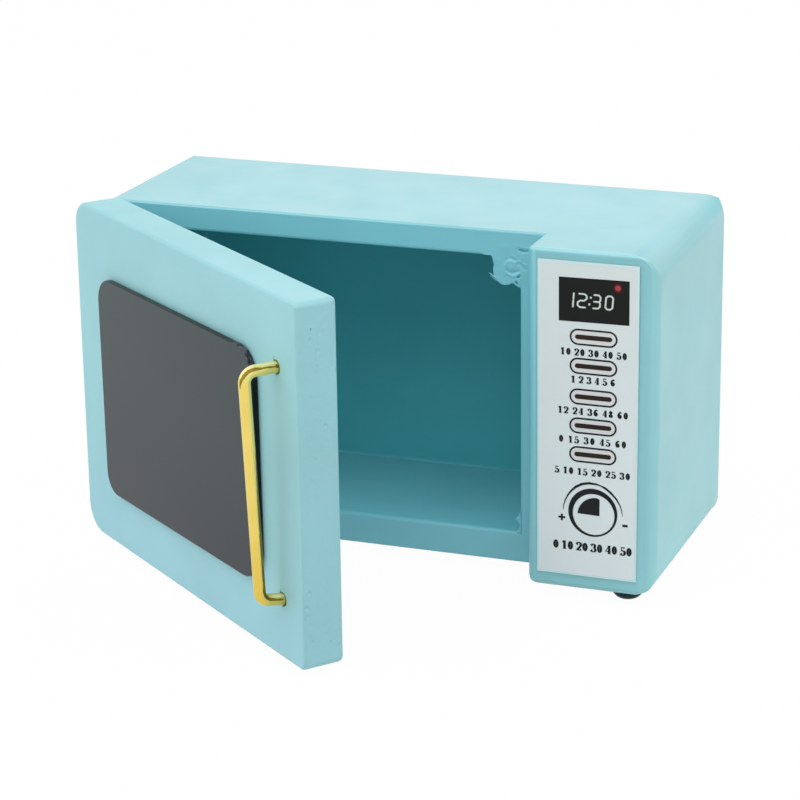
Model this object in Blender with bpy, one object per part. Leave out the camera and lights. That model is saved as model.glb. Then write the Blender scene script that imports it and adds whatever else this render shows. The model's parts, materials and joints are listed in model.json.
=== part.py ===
"""A wooden dollhouse microwave at one twelfth scale, with its door standing open on two small hinges.

While it is built, X runs from the hinge side to the control side, Y from the front frame to the back,
and Z up from the table. At the end the whole model is centred over its own footprint.
"""

import math

import bmesh
import bpy
from mathutils import Vector

MM = 0.001

# Clearances and edges that several pieces share
GLUE_LINE = 0.05 * MM
PIN_CLEARANCE = 0.04 * MM
NAIL_CLEARANCE = 0.02 * MM
CUT_OVERRUN = 0.5 * MM
MERGE_DISTANCE = 0.0001 * MM
BOARD_EASE = 0.15 * MM

# Cabinet: a glued box of thin boards with a solid block at its control side
CABINET_WIDTH = 46.0 * MM
CABINET_HEIGHT = 26.63 * MM
CABINET_DEPTH = 15.65 * MM
TOP_THICKNESS = 2.05 * MM
BOTTOM_THICKNESS = 2.5 * MM
SIDE_THICKNESS = 2.0 * MM
PARTITION_THICKNESS = 1.79 * MM
BACK_THICKNESS = 2.25 * MM

# Control block: it reaches forward of the frame by about the thickness of the door
BLOCK_WIDTH = 10.07 * MM
BLOCK_REACH = 4.0 * MM
BLOCK_SIDE_ROUND = 2.1 * MM
BLOCK_INNER_ROUND = 0.6 * MM
BLOCK_END_ROUND = 0.55 * MM

# Paper label on the front of the control block
LABEL_THICKNESS = 0.1 * MM
LABEL_LEFT_MARGIN = 0.89 * MM
LABEL_RIGHT_MARGIN = 1.39 * MM
LABEL_TOP_MARGIN = 0.77 * MM
LABEL_BOTTOM_MARGIN = 1.22 * MM

# Domed feet with a small flat where they stand
FOOT_RADIUS = 1.27 * MM
FOOT_HEIGHT = 0.95 * MM
FOOT_FLAT_RADIUS = 0.45 * MM
FOOT_SIDE_INSET = 2.65 * MM
FOOT_END_INSET = 2.15 * MM

# Door
DOOR_THICKNESS = 3.32 * MM
DOOR_BACK_GAP = 0.25 * MM
DOOR_BLOCK_GAP = 0.33 * MM
DOOR_RISE = 0.5 * MM
DOOR_DROP = 0.23 * MM
DOOR_HINGE_CORNER = 1.65 * MM
DOOR_FREE_CORNER = 0.45 * MM
DOOR_EASE = 0.3 * MM
DOOR_OPEN_ANGLE = math.radians(38.34)

# Dark plate that stands for the window, glued a little crooked on the face of the door
WINDOW_THICKNESS = 0.5 * MM
WINDOW_HINGE_MARGIN = 4.87 * MM
WINDOW_FREE_MARGIN = 5.48 * MM
WINDOW_TOP_MARGIN = 4.84 * MM
WINDOW_BOTTOM_MARGIN = 4.77 * MM
WINDOW_CORNER = 1.9 * MM
WINDOW_TILT = math.radians(0.77)
WINDOW_EASE = 0.08 * MM

# Handle: one bent wire that stands closer to the door at its lower end
WIRE_DIAMETER = 0.88 * MM
WIRE_BEND_RADIUS = 0.8 * MM
WIRE_GRIP = 2.0 * MM
HANDLE_TOP_STANDOFF = 2.57 * MM
HANDLE_BOTTOM_STANDOFF = 1.78 * MM
HANDLE_FREE_MARGIN = 2.97 * MM
HANDLE_TOP_MARGIN = 5.26 * MM
HANDLE_BOTTOM_MARGIN = 4.68 * MM
HANDLE_HOLE_CLEARANCE = 0.06 * MM

# Butt hinges, each let into a pocket in the back of the door
LEAF_THICKNESS = 0.2 * MM
LEAF_HEIGHT = 3.6 * MM
LEAF_REACH = 1.5 * MM
PIN_RADIUS = 0.15 * MM
PIN_OVERHANG = 0.12 * MM
PIN_EASE = 0.04 * MM
KNUCKLE_GAP = 0.06 * MM
BARREL_INSET = 0.35 * MM
POCKET_CLEARANCE = 0.2 * MM
HINGE_END_INSET = 5.6 * MM

# Nails that hold the hinge leaves
NAIL_RADIUS = 0.11 * MM
NAIL_LENGTH = 1.3 * MM
NAIL_TIP = 0.25 * MM
NAIL_HEAD_RADIUS = 0.27 * MM
NAIL_HEAD_THICKNESS = 0.09 * MM
NAIL_EDGE = 0.5 * MM
NAIL_SPACING = 2.2 * MM

# Catch: a round magnet bedded in putty in the cavity's corner, and a steel disc in the door
MAGNET_RADIUS = 0.64 * MM
MAGNET_LENGTH = 1.4 * MM
MAGNET_TOP_MARGIN = 0.17 * MM
PUTTY_WIDTH = 2.3 * MM
PUTTY_HEIGHT = 2.35 * MM
PUTTY_DEPTH = 1.7 * MM
PUTTY_EASE = 0.2 * MM
DISC_RADIUS = 1.0 * MM
DISC_THICKNESS = 0.5 * MM

# Facets
ROUND_STEPS = 32
SMALL_ROUND_STEPS = 16
CORNER_STEPS = 8
EASE_STEPS = 3
SMOOTH_ANGLE = math.radians(35)

# Putty outline as shares of its width and height, from the cavity's corner round its free side
PUTTY_SHARES = [
    (0.0, 0.0),
    (-1.0, 0.0),
    (-0.88, -0.3),
    (-0.87, -0.62),
    (-0.7, -0.88),
    (-0.42, -1.0),
    (-0.2, -0.94),
    (0.0, -0.98),
]

# Places worked out from the sizes above
BLOCK_LEFT = CABINET_WIDTH - BLOCK_WIDTH
CAVITY_LEFT = SIDE_THICKNESS
CAVITY_RIGHT = BLOCK_LEFT - GLUE_LINE - PARTITION_THICKNESS
CABINET_BASE = FOOT_HEIGHT
CABINET_TOP = CABINET_BASE + CABINET_HEIGHT
CAVITY_FLOOR = CABINET_BASE + BOTTOM_THICKNESS
CAVITY_CEILING = CABINET_TOP - TOP_THICKNESS
BARREL_RADIUS = PIN_RADIUS + PIN_CLEARANCE + LEAF_THICKNESS
AXIS_X = BARREL_INSET
AXIS_Y = -(GLUE_LINE + BARREL_RADIUS)
DOOR_WIDTH = BLOCK_LEFT - DOOR_BLOCK_GAP
DOOR_HEIGHT = CABINET_HEIGHT + DOOR_RISE + DOOR_DROP
DOOR_BASE = CABINET_BASE - DOOR_DROP
DOOR_TOP = DOOR_BASE + DOOR_HEIGHT
DOOR_BACK = -DOOR_BACK_GAP
DOOR_FRONT = DOOR_BACK - DOOR_THICKNESS
POCKET_FLOOR = AXIS_Y - BARREL_RADIUS - GLUE_LINE
MAGNET_X = CAVITY_RIGHT - GLUE_LINE - MAGNET_RADIUS
MAGNET_Z = CAVITY_CEILING - MAGNET_TOP_MARGIN - MAGNET_RADIUS
HINGE_CENTRES = {
    "lower": CABINET_BASE + HINGE_END_INSET,
    "upper": CABINET_TOP - HINGE_END_INSET,
}


def clear_scene():
    for obj in list(bpy.data.objects):
        bpy.data.objects.remove(obj, do_unlink=True)


def principled(name, colour, roughness, metallic=0.0):
    material = bpy.data.materials.new(name)
    material.use_nodes = True
    shader = material.node_tree.nodes["Principled BSDF"]
    shader.inputs["Base Color"].default_value = (*colour, 1.0)
    shader.inputs["Roughness"].default_value = roughness
    shader.inputs["Metallic"].default_value = metallic
    material.diffuse_color = (*colour, 1.0)
    return material


def make_materials():
    return {
        "paint": principled("aqua_paint", (0.37, 0.67, 0.70), 0.45),
        "paper": principled("label_paper", (0.80, 0.82, 0.82), 0.6),
        "window": principled("smoked_plate", (0.05, 0.052, 0.055), 0.25),
        "brass": principled("brass", (0.83, 0.62, 0.20), 0.25, 1.0),
        "steel": principled("steel", (0.55, 0.56, 0.58), 0.3, 1.0),
        "rubber": principled("dark_rubber", (0.01, 0.03, 0.03), 0.35),
    }


def empty(name, location, parent=None):
    """A bare axis that other pieces are parented to."""
    obj = bpy.data.objects.new(name, None)
    bpy.context.scene.collection.objects.link(obj)
    obj.location = location
    obj.parent = parent
    return obj


def solid(name, mesh_builder, material, parent, location=(0, 0, 0)):
    """Turns a bmesh into a named object at a place in its parent's frame."""
    bmesh.ops.recalc_face_normals(mesh_builder, faces=mesh_builder.faces)
    mesh = bpy.data.meshes.new(name)
    mesh_builder.to_mesh(mesh)
    mesh_builder.free()
    mesh.shade_smooth()
    mesh.set_sharp_from_angle(angle=SMOOTH_ANGLE)
    obj = bpy.data.objects.new(name, mesh)
    bpy.context.scene.collection.objects.link(obj)
    if material:
        mesh.materials.append(material)
    obj.parent = parent
    obj.location = location
    return obj


def block_mesh(width, depth, height):
    """A box with its low corner at the origin."""
    builder = bmesh.new()
    bmesh.ops.create_cube(builder, size=1.0)
    for vertex in builder.verts:
        vertex.co = Vector((
            (vertex.co.x + 0.5) * width,
            (vertex.co.y + 0.5) * depth,
            (vertex.co.z + 0.5) * height,
        ))
    return builder


def rounded_outline(width, height, radii):
    """A rectangle from the origin whose corners, from the low left round, have the given radii."""
    low_left, low_right, top_right, top_left = radii
    corners = [
        (low_left, low_left, low_left, math.pi),
        (width - low_right, low_right, low_right, 1.5 * math.pi),
        (width - top_right, height - top_right, top_right, 0.0),
        (top_left, height - top_left, top_left, 0.5 * math.pi),
    ]
    points = []
    for centre_u, centre_v, radius, start in corners:
        for step in range(CORNER_STEPS + 1):
            angle = start + 0.5 * math.pi * step / CORNER_STEPS
            points.append((centre_u + radius * math.cos(angle), centre_v + radius * math.sin(angle)))
    return points


def extruded(outline, place, sweep):
    """Extrudes an outline: place turns its two numbers into a point, and sweep is the extrusion."""
    builder = bmesh.new()
    face = builder.faces.new([builder.verts.new(place(u, v)) for u, v in outline])
    moved = bmesh.ops.extrude_face_region(builder, geom=[face])["geom"]
    rim = [item for item in moved if isinstance(item, bmesh.types.BMVert)]
    bmesh.ops.translate(builder, verts=rim, vec=sweep)
    return builder


def upright_slab(outline, thickness):
    """An outline in X and Z, as thick as asked along +Y."""
    return extruded(outline, lambda u, v: (u, 0, v), (0, thickness, 0))


def turned(profile, steps):
    """A solid turned about Z from (radius, height) points that start and end on the axis."""
    builder = bmesh.new()
    points = [builder.verts.new((radius, 0, height)) for radius, height in profile]
    edges = [builder.edges.new(pair) for pair in zip(points, points[1:])]
    bmesh.ops.spin(
        builder, geom=points + edges, cent=(0, 0, 0), axis=(0, 0, 1),
        angle=2 * math.pi, steps=steps, use_merge=True,
    )
    bmesh.ops.remove_doubles(builder, verts=builder.verts, dist=MERGE_DISTANCE)
    return builder


def rod(radius, length, steps=SMALL_ROUND_STEPS):
    return turned([(0, 0), (radius, 0), (radius, length), (0, length)], steps)


def ease(obj, width):
    """Rounds the hard edges of an object."""
    bevel = obj.modifiers.new("ease", "BEVEL")
    bevel.width = width
    bevel.segments = EASE_STEPS
    bevel.limit_method = "ANGLE"
    bevel.angle_limit = SMOOTH_ANGLE
    return obj


def cut(target, tool):
    """Takes the tool's shape out of the target."""
    tool.hide_render = True
    tool.display_type = "WIRE"
    boolean = target.modifiers.new("cut_" + tool.name, "BOOLEAN")
    boolean.operation = "DIFFERENCE"
    boolean.solver = "EXACT"
    boolean.object = tool


def lying_rod(name, radius, length, parent, start, steps=SMALL_ROUND_STEPS):
    """A rod that runs along +Y from its start: the tool for every hole that goes back from a face."""
    obj = solid(name, rod(radius, length, steps), None, parent, start)
    obj.rotation_euler.x = -0.5 * math.pi
    return obj


def make_boards(materials, root):
    """The five thin boards that close the cavity, each clear of its neighbour by one glue line."""
    span = BLOCK_LEFT - GLUE_LINE
    wall_height = CAVITY_CEILING - CAVITY_FLOOR - 2 * GLUE_LINE
    wall_base = CAVITY_FLOOR + GLUE_LINE
    back_left = CAVITY_LEFT + GLUE_LINE
    boards = {
        "top_board": ((span, CABINET_DEPTH, TOP_THICKNESS), (0, 0, CAVITY_CEILING)),
        "bottom_board": ((span, CABINET_DEPTH, BOTTOM_THICKNESS), (0, 0, CABINET_BASE)),
        "left_side_board": ((SIDE_THICKNESS, CABINET_DEPTH, wall_height), (0, 0, wall_base)),
        "partition_board": (
            (PARTITION_THICKNESS, CABINET_DEPTH, wall_height), (CAVITY_RIGHT, 0, wall_base),
        ),
        "back_board": (
            (CAVITY_RIGHT - GLUE_LINE - back_left, BACK_THICKNESS, wall_height),
            (back_left, CABINET_DEPTH - BACK_THICKNESS, wall_base),
        ),
    }
    return {
        name: ease(solid(name, block_mesh(*size), materials["paint"], root, place), BOARD_EASE)
        for name, (size, place) in boards.items()
    }


def make_control_block(materials, root):
    """A solid block whose outer long edges are well rounded and whose end edges are eased."""
    inner, outer = BLOCK_INNER_ROUND, BLOCK_SIDE_ROUND
    outline = rounded_outline(BLOCK_WIDTH, CABINET_HEIGHT, (inner, outer, outer, inner))
    place = (BLOCK_LEFT, -BLOCK_REACH, CABINET_BASE)
    slab = upright_slab(outline, BLOCK_REACH + CABINET_DEPTH)
    return ease(solid("control_block", slab, materials["paint"], root, place), BLOCK_END_ROUND)


def make_label(materials, root):
    width = BLOCK_WIDTH - LABEL_LEFT_MARGIN - LABEL_RIGHT_MARGIN
    height = CABINET_HEIGHT - LABEL_TOP_MARGIN - LABEL_BOTTOM_MARGIN
    place = (
        BLOCK_LEFT + LABEL_LEFT_MARGIN,
        -BLOCK_REACH - GLUE_LINE - LABEL_THICKNESS,
        CABINET_BASE + LABEL_BOTTOM_MARGIN,
    )
    return solid("panel_label", block_mesh(width, LABEL_THICKNESS, height), materials["paper"], root, place)


def make_feet(materials, root):
    """Four domes, glued under the corners. The front foot at the control side is under the block."""
    dome = [(0, 0)]
    top = FOOT_HEIGHT - GLUE_LINE
    for step in range(CORNER_STEPS + 1):
        angle = 0.5 * math.pi * step / CORNER_STEPS
        radius = FOOT_FLAT_RADIUS + (FOOT_RADIUS - FOOT_FLAT_RADIUS) * math.sin(angle)
        dome.append((radius, top * (1 - math.cos(angle))))
    dome.append((0, top))
    left = FOOT_SIDE_INSET
    right = CABINET_WIDTH - FOOT_SIDE_INSET
    back = CABINET_DEPTH - FOOT_END_INSET
    places = {
        "foot_front_left": (left, FOOT_END_INSET),
        "foot_front_right": (right, FOOT_END_INSET - BLOCK_REACH),
        "foot_back_left": (left, back),
        "foot_back_right": (right, back),
    }
    for name, (x, y) in places.items():
        solid(name, turned(dome, ROUND_STEPS), materials["rubber"], root, (x, y, 0))


def make_catch(materials, root, door_axis, door_panel):
    """The putty and its magnet in the cavity's corner, and the disc that it pulls in the door."""
    outline = [(u * PUTTY_WIDTH, v * PUTTY_HEIGHT) for u, v in PUTTY_SHARES]
    corner = (CAVITY_RIGHT - GLUE_LINE, 0, CAVITY_CEILING - GLUE_LINE)
    putty = solid("catch_putty", upright_slab(outline, PUTTY_DEPTH), materials["paint"], root, corner)
    ease(putty, PUTTY_EASE)
    centre = (MAGNET_X, 0, MAGNET_Z)
    seat_depth = MAGNET_LENGTH + GLUE_LINE
    seat = lying_rod(
        "magnet_seat_tool", MAGNET_RADIUS + GLUE_LINE, seat_depth + CUT_OVERRUN, root,
        (centre[0], -CUT_OVERRUN, centre[2]), ROUND_STEPS,
    )
    cut(putty, seat)
    magnet = lying_rod("catch_magnet", MAGNET_RADIUS, MAGNET_LENGTH, root, centre, ROUND_STEPS)
    magnet.data.materials.append(materials["steel"])

    disc_place = (centre[0] - AXIS_X, DOOR_BACK - DISC_THICKNESS - AXIS_Y, centre[2])
    recess = lying_rod(
        "disc_recess_tool", DISC_RADIUS + GLUE_LINE, DISC_THICKNESS + GLUE_LINE + CUT_OVERRUN, door_axis,
        (disc_place[0], disc_place[1] - GLUE_LINE, disc_place[2]), ROUND_STEPS,
    )
    cut(door_panel, recess)
    disc = lying_rod("door_catch_disc", DISC_RADIUS, DISC_THICKNESS, door_axis, disc_place, ROUND_STEPS)
    disc.data.materials.append(materials["steel"])


def make_door_panel(materials, door_axis):
    """One solid board, well rounded at the hinge side and nearly square at the free side."""
    radii = (DOOR_HINGE_CORNER, DOOR_FREE_CORNER, DOOR_FREE_CORNER, DOOR_HINGE_CORNER)
    outline = rounded_outline(DOOR_WIDTH, DOOR_HEIGHT, radii)
    place = (-AXIS_X, DOOR_FRONT - AXIS_Y, DOOR_BASE)
    panel = solid("door_panel", upright_slab(outline, DOOR_THICKNESS), materials["paint"], door_axis, place)
    return ease(panel, DOOR_EASE)


def make_window(materials, door_axis):
    width = DOOR_WIDTH - WINDOW_HINGE_MARGIN - WINDOW_FREE_MARGIN
    height = DOOR_HEIGHT - WINDOW_TOP_MARGIN - WINDOW_BOTTOM_MARGIN
    square = rounded_outline(width, height, (WINDOW_CORNER,) * 4)
    across, along = math.cos(WINDOW_TILT), math.sin(WINDOW_TILT)
    middle_u, middle_v = 0.5 * width, 0.5 * height
    outline = [
        (
            middle_u + across * (u - middle_u) - along * (v - middle_v),
            middle_v + along * (u - middle_u) + across * (v - middle_v),
        )
        for u, v in square
    ]
    place = (
        WINDOW_HINGE_MARGIN - AXIS_X,
        DOOR_FRONT - AXIS_Y - GLUE_LINE - WINDOW_THICKNESS,
        DOOR_BASE + WINDOW_BOTTOM_MARGIN,
    )
    plate = upright_slab(outline, WINDOW_THICKNESS)
    return ease(solid("door_window", plate, materials["window"], door_axis, place), WINDOW_EASE)


def bend(centre, radius, start, end):
    """Points of a bend in the Y and Z plane, from one angle to the other."""
    return [
        (
            0,
            centre[0] + radius * math.cos(start + (end - start) * step / CORNER_STEPS),
            centre[1] + radius * math.sin(start + (end - start) * step / CORNER_STEPS),
        )
        for step in range(CORNER_STEPS + 1)
    ]


def handle_route(top_hole, bottom_hole):
    """The wire's middle line, where zero is the door's face: into the top hole and out of the low one."""
    top_y, bottom_y = -HANDLE_TOP_STANDOFF, -HANDLE_BOTTOM_STANDOFF
    lean = math.atan2(bottom_y - top_y, top_hole - bottom_hole)
    radius = WIRE_BEND_RADIUS
    # Each bend is an arc that touches the leg and the leaning bar.
    top_run = radius * math.tan(0.25 * math.pi + 0.5 * lean)
    bottom_run = radius * math.tan(0.25 * math.pi - 0.5 * lean)
    top_centre = (top_y + top_run, top_hole - radius)
    bottom_centre = (bottom_y + bottom_run, bottom_hole + radius)
    return [
        (0, WIRE_GRIP, top_hole),
        *bend(top_centre, radius, 0.5 * math.pi, math.pi + lean),
        *bend(bottom_centre, radius, math.pi + lean, 1.5 * math.pi),
        (0, WIRE_GRIP, bottom_hole),
    ]


def make_handle(materials, door_axis, door_panel):
    """A bent brass wire whose ends are glued into two holes in the door's face."""
    handle_x = DOOR_WIDTH - HANDLE_FREE_MARGIN - AXIS_X
    face = DOOR_FRONT - AXIS_Y
    holes = {"top": DOOR_TOP - HANDLE_TOP_MARGIN, "bottom": DOOR_BASE + HANDLE_BOTTOM_MARGIN}
    curve = bpy.data.curves.new("door_handle", "CURVE")
    curve.dimensions = "3D"
    curve.bevel_depth = 0.5 * WIRE_DIAMETER
    curve.bevel_resolution = 4
    curve.use_fill_caps = True
    route = handle_route(holes["top"], holes["bottom"])
    spline = curve.splines.new("POLY")
    spline.points.add(len(route) - 1)
    for point, place in zip(spline.points, route):
        point.co = (*place, 1.0)
    spline.use_smooth = True
    curve.materials.append(materials["brass"])
    handle = bpy.data.objects.new("door_handle", curve)
    bpy.context.scene.collection.objects.link(handle)
    handle.parent = door_axis
    handle.location = (handle_x, face, 0)
    for end, height in holes.items():
        hole = lying_rod(
            end + "_handle_hole_tool", 0.5 * WIRE_DIAMETER + HANDLE_HOLE_CLEARANCE,
            CUT_OVERRUN + WIRE_GRIP + HANDLE_HOLE_CLEARANCE, door_axis,
            (handle_x, face - CUT_OVERRUN, height), ROUND_STEPS,
        )
        cut(door_panel, hole)


def leaf_outline():
    """A leaf rolled round its pin, in X and Y with the pin at the origin and the flat at +Y."""
    inner = BARREL_RADIUS - LEAF_THICKNESS
    meets = math.asin(inner / BARREL_RADIUS)
    points = [(0, BARREL_RADIUS), (LEAF_REACH, BARREL_RADIUS), (LEAF_REACH, inner)]
    sweep = 1.5 * math.pi + meets
    for step in range(ROUND_STEPS):
        angle = meets - sweep * step / ROUND_STEPS
        points.append((BARREL_RADIUS * math.cos(angle), BARREL_RADIUS * math.sin(angle)))
    return points


def knuckle_notch(name, low, high, parent, base):
    """The tool that clears one knuckle's length for the other leaf."""
    reach = BARREL_RADIUS + KNUCKLE_GAP
    size = (2 * reach, 2 * reach, high - low)
    return solid(name, block_mesh(*size), None, parent, (-reach, -reach, base + low))


def make_leaf(name, side, hinge_base, materials, axis):
    """One leaf of a hinge. The cabinet's has the outer knuckles, and the door's has the middle one."""
    mirror = 1 if side == "cabinet" else -1
    outline = [(x, mirror * y) for x, y in leaf_outline()]
    flat = extruded(outline, lambda u, v: (u, v, 0), (0, 0, LEAF_HEIGHT))
    leaf = solid(name, flat, materials["brass"], axis, (0, 0, hinge_base))
    first, second = LEAF_HEIGHT / 3, 2 * LEAF_HEIGHT / 3
    if side == "cabinet":
        notches = [(first - 0.5 * KNUCKLE_GAP, second + 0.5 * KNUCKLE_GAP)]
    else:
        notches = [
            (-CUT_OVERRUN, first + 0.5 * KNUCKLE_GAP),
            (second - 0.5 * KNUCKLE_GAP, LEAF_HEIGHT + CUT_OVERRUN),
        ]
    for index, (low, high) in enumerate(notches):
        cut(leaf, knuckle_notch(f"{name}_notch_{index}_tool", low, high, axis, hinge_base))
    bore = solid(
        name + "_bore_tool", rod(PIN_RADIUS + PIN_CLEARANCE, LEAF_HEIGHT + 2 * CUT_OVERRUN), None, axis,
        (0, 0, hinge_base - CUT_OVERRUN),
    )
    cut(leaf, bore)
    return leaf


def nail_mesh():
    """A nail along +Z, head first from the origin, with a short point."""
    tip = NAIL_HEAD_THICKNESS + NAIL_LENGTH
    return turned(
        [
            (0, 0),
            (NAIL_HEAD_RADIUS, 0),
            (NAIL_HEAD_RADIUS, NAIL_HEAD_THICKNESS),
            (NAIL_RADIUS, NAIL_HEAD_THICKNESS),
            (NAIL_RADIUS, tip - NAIL_TIP),
            (0, tip),
        ],
        SMALL_ROUND_STEPS,
    )


def nail_leaf(name, leaf, side, middle, wood, materials, parent, axis_place):
    """Two nails through a leaf into the wood behind it, with their holes."""
    into = 1 if side == "cabinet" else -1
    head_under = into * (BARREL_RADIUS - LEAF_THICKNESS - NAIL_CLEARANCE)
    start_y = head_under - into * NAIL_HEAD_THICKNESS
    x = LEAF_REACH - NAIL_EDGE
    for label, offset in (("low", -0.5 * NAIL_SPACING), ("high", 0.5 * NAIL_SPACING)):
        place = (axis_place[0] + x, axis_place[1] + start_y, middle + offset)
        nail = solid(f"{name}_{label}", nail_mesh(), materials["brass"], parent, place)
        nail.rotation_euler.x = -into * 0.5 * math.pi
        hole_length = NAIL_HEAD_THICKNESS + NAIL_LENGTH + NAIL_CLEARANCE
        tool = solid(
            f"{name}_{label}_hole_tool", rod(NAIL_RADIUS + NAIL_CLEARANCE, hole_length), None, parent, place,
        )
        tool.rotation_euler.x = -into * 0.5 * math.pi
        cut(leaf, tool)
        cut(wood, tool)


def make_hinge(position, middle, materials, root, door_axis, side_board, door_panel):
    """One butt hinge: two leaves, a pin and four nails, with its pocket in the door."""
    base = middle - 0.5 * LEAF_HEIGHT
    pocket_base = base - POCKET_CLEARANCE
    pocket_size = (
        CUT_OVERRUN + AXIS_X + LEAF_REACH + POCKET_CLEARANCE,
        DOOR_BACK - POCKET_FLOOR + CUT_OVERRUN,
        LEAF_HEIGHT + 2 * POCKET_CLEARANCE,
    )
    pocket_place = (-AXIS_X - CUT_OVERRUN, POCKET_FLOOR - AXIS_Y, pocket_base)
    pocket = solid(f"{position}_pocket_tool", block_mesh(*pocket_size), None, door_axis, pocket_place)
    cut(door_panel, pocket)

    still_axis = empty(f"{position}_hinge_axis", (AXIS_X, AXIS_Y, 0), root)
    cabinet_leaf = make_leaf(f"{position}_hinge_cabinet_leaf", "cabinet", base, materials, still_axis)
    door_leaf = make_leaf(f"{position}_hinge_door_leaf", "door", base, materials, door_axis)
    pin = solid(
        f"{position}_hinge_pin", rod(PIN_RADIUS, LEAF_HEIGHT + 2 * PIN_OVERHANG), materials["brass"],
        still_axis, (0, 0, base - PIN_OVERHANG),
    )
    ease(pin, PIN_EASE)
    nail_leaf(
        f"{position}_hinge_cabinet_nail", cabinet_leaf, "cabinet", middle, side_board, materials, root,
        (AXIS_X, AXIS_Y),
    )
    nail_leaf(
        f"{position}_hinge_door_nail", door_leaf, "door", middle, door_panel, materials, door_axis, (0, 0),
    )


def centre_over_footprint(root):
    """Moves the root so that the middle of the model's footprint is at the origin."""
    bpy.context.view_layer.update()
    graph = bpy.context.evaluated_depsgraph_get()
    low, high = Vector((math.inf,) * 3), Vector((-math.inf,) * 3)
    for obj in bpy.context.scene.objects:
        if obj.hide_render or obj.type == "EMPTY":
            continue
        evaluated = obj.evaluated_get(graph)
        for vertex in evaluated.to_mesh().vertices:
            place = evaluated.matrix_world @ vertex.co
            low = Vector(map(min, low, place))
            high = Vector(map(max, high, place))
        evaluated.to_mesh_clear()
    root.location = (-0.5 * (low.x + high.x), -0.5 * (low.y + high.y), -low.z)
    bpy.context.view_layer.update()


def main():
    clear_scene()
    materials = make_materials()
    root = empty("model_root", (0, 0, 0))
    door_axis = empty("door_axis", (AXIS_X, AXIS_Y, 0), root)
    door_axis.rotation_euler.z = -DOOR_OPEN_ANGLE
    boards = make_boards(materials, root)
    make_control_block(materials, root)
    make_label(materials, root)
    make_feet(materials, root)
    door_panel = make_door_panel(materials, door_axis)
    make_window(materials, door_axis)
    make_handle(materials, door_axis, door_panel)
    make_catch(materials, root, door_axis, door_panel)
    for position, middle in HINGE_CENTRES.items():
        make_hinge(
            position, middle, materials, root, door_axis, boards["left_side_board"], door_panel,
        )
    centre_over_footprint(root)


main()
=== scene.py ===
"""Dresses the dollhouse microwave: its paint, smoked window, brass wire, printed label and catch.

Every piece is drawn in millimetres, in the frame of the cabinet or of the door, and is then set on the model.
"""

import json
import math

import bmesh
import bpy
from mathutils import Matrix, Vector, noise


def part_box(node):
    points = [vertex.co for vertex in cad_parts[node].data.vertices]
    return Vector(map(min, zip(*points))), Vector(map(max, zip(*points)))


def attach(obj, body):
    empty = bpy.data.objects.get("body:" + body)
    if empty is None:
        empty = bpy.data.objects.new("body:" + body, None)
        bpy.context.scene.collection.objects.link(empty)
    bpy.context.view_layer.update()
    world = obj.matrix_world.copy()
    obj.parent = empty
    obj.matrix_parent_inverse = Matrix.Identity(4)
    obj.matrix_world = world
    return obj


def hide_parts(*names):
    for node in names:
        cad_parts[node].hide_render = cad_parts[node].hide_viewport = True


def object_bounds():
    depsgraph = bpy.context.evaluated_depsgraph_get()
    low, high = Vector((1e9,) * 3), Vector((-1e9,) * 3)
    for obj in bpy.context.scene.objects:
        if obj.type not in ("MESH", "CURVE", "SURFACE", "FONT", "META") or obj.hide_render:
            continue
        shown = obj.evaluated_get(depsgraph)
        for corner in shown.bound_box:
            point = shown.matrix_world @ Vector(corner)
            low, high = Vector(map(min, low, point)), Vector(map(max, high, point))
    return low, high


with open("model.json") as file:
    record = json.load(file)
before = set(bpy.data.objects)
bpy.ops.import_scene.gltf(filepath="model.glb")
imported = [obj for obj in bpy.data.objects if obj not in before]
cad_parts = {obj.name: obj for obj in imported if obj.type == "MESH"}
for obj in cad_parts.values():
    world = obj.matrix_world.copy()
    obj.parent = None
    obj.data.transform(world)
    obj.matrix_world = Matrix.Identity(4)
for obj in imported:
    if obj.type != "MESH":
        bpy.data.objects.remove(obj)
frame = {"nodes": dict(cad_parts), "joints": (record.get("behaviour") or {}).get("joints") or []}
cad_low, cad_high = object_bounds()

MM = 0.001
MILLIMETRES = Matrix.Scale(MM, 4)
SMOOTH_ANGLE = math.radians(40)
FLAT_COSINE = 0.99999
PAINT_SHINE = 0.8
CURVE_STEPS = 14
STRAND_SIDES = 10


def box_in(node, place):
    """A CAD node's low and high corners in the frame that a matrix gives."""
    back = place.inverted()
    points = [back @ vertex.co for vertex in frame["nodes"][node].data.vertices]
    low = Vector(min(point[axis] for point in points) for axis in range(3))
    high = Vector(max(point[axis] for point in points) for axis in range(3))
    return low, high


# The cabinet's frame starts at the low front corner of its hinge side, and the door's at its own
# low front corner, with Y into the wood in both.
CABINET = Matrix.Translation(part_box("bottom_board")[0]) @ MILLIMETRES
door_joint = frame["joints"][0]
swing = (
    Matrix.Translation(Vector(door_joint["pos_m"]))
    @ Matrix.Rotation(math.radians(door_joint["range_deg"][0]), 4, "Z")
    @ MILLIMETRES
)
DOOR = swing @ Matrix.Translation(box_in("door_panel", swing)[0])

block_low, block_high = box_in("control_block", CABINET)
BLOCK_LEFT = block_low.x
BLOCK_REACH = -block_low.y
WIDTH = block_high.x
DEPTH = block_high.y
HEIGHT = block_high.z
CAVITY_LEFT = box_in("left_side_board", CABINET)[1].x
CAVITY_RIGHT = box_in("partition_board", CABINET)[0].x
CAVITY_FLOOR = box_in("bottom_board", CABINET)[1].z
CAVITY_CEILING = box_in("top_board", CABINET)[0].z
CAVITY_BACK = box_in("back_board", CABINET)[0].y
door_size = box_in("door_panel", DOOR)[1]
DOOR_WIDTH, DOOR_THICKNESS, DOOR_HEIGHT = door_size


# Finishes

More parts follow.
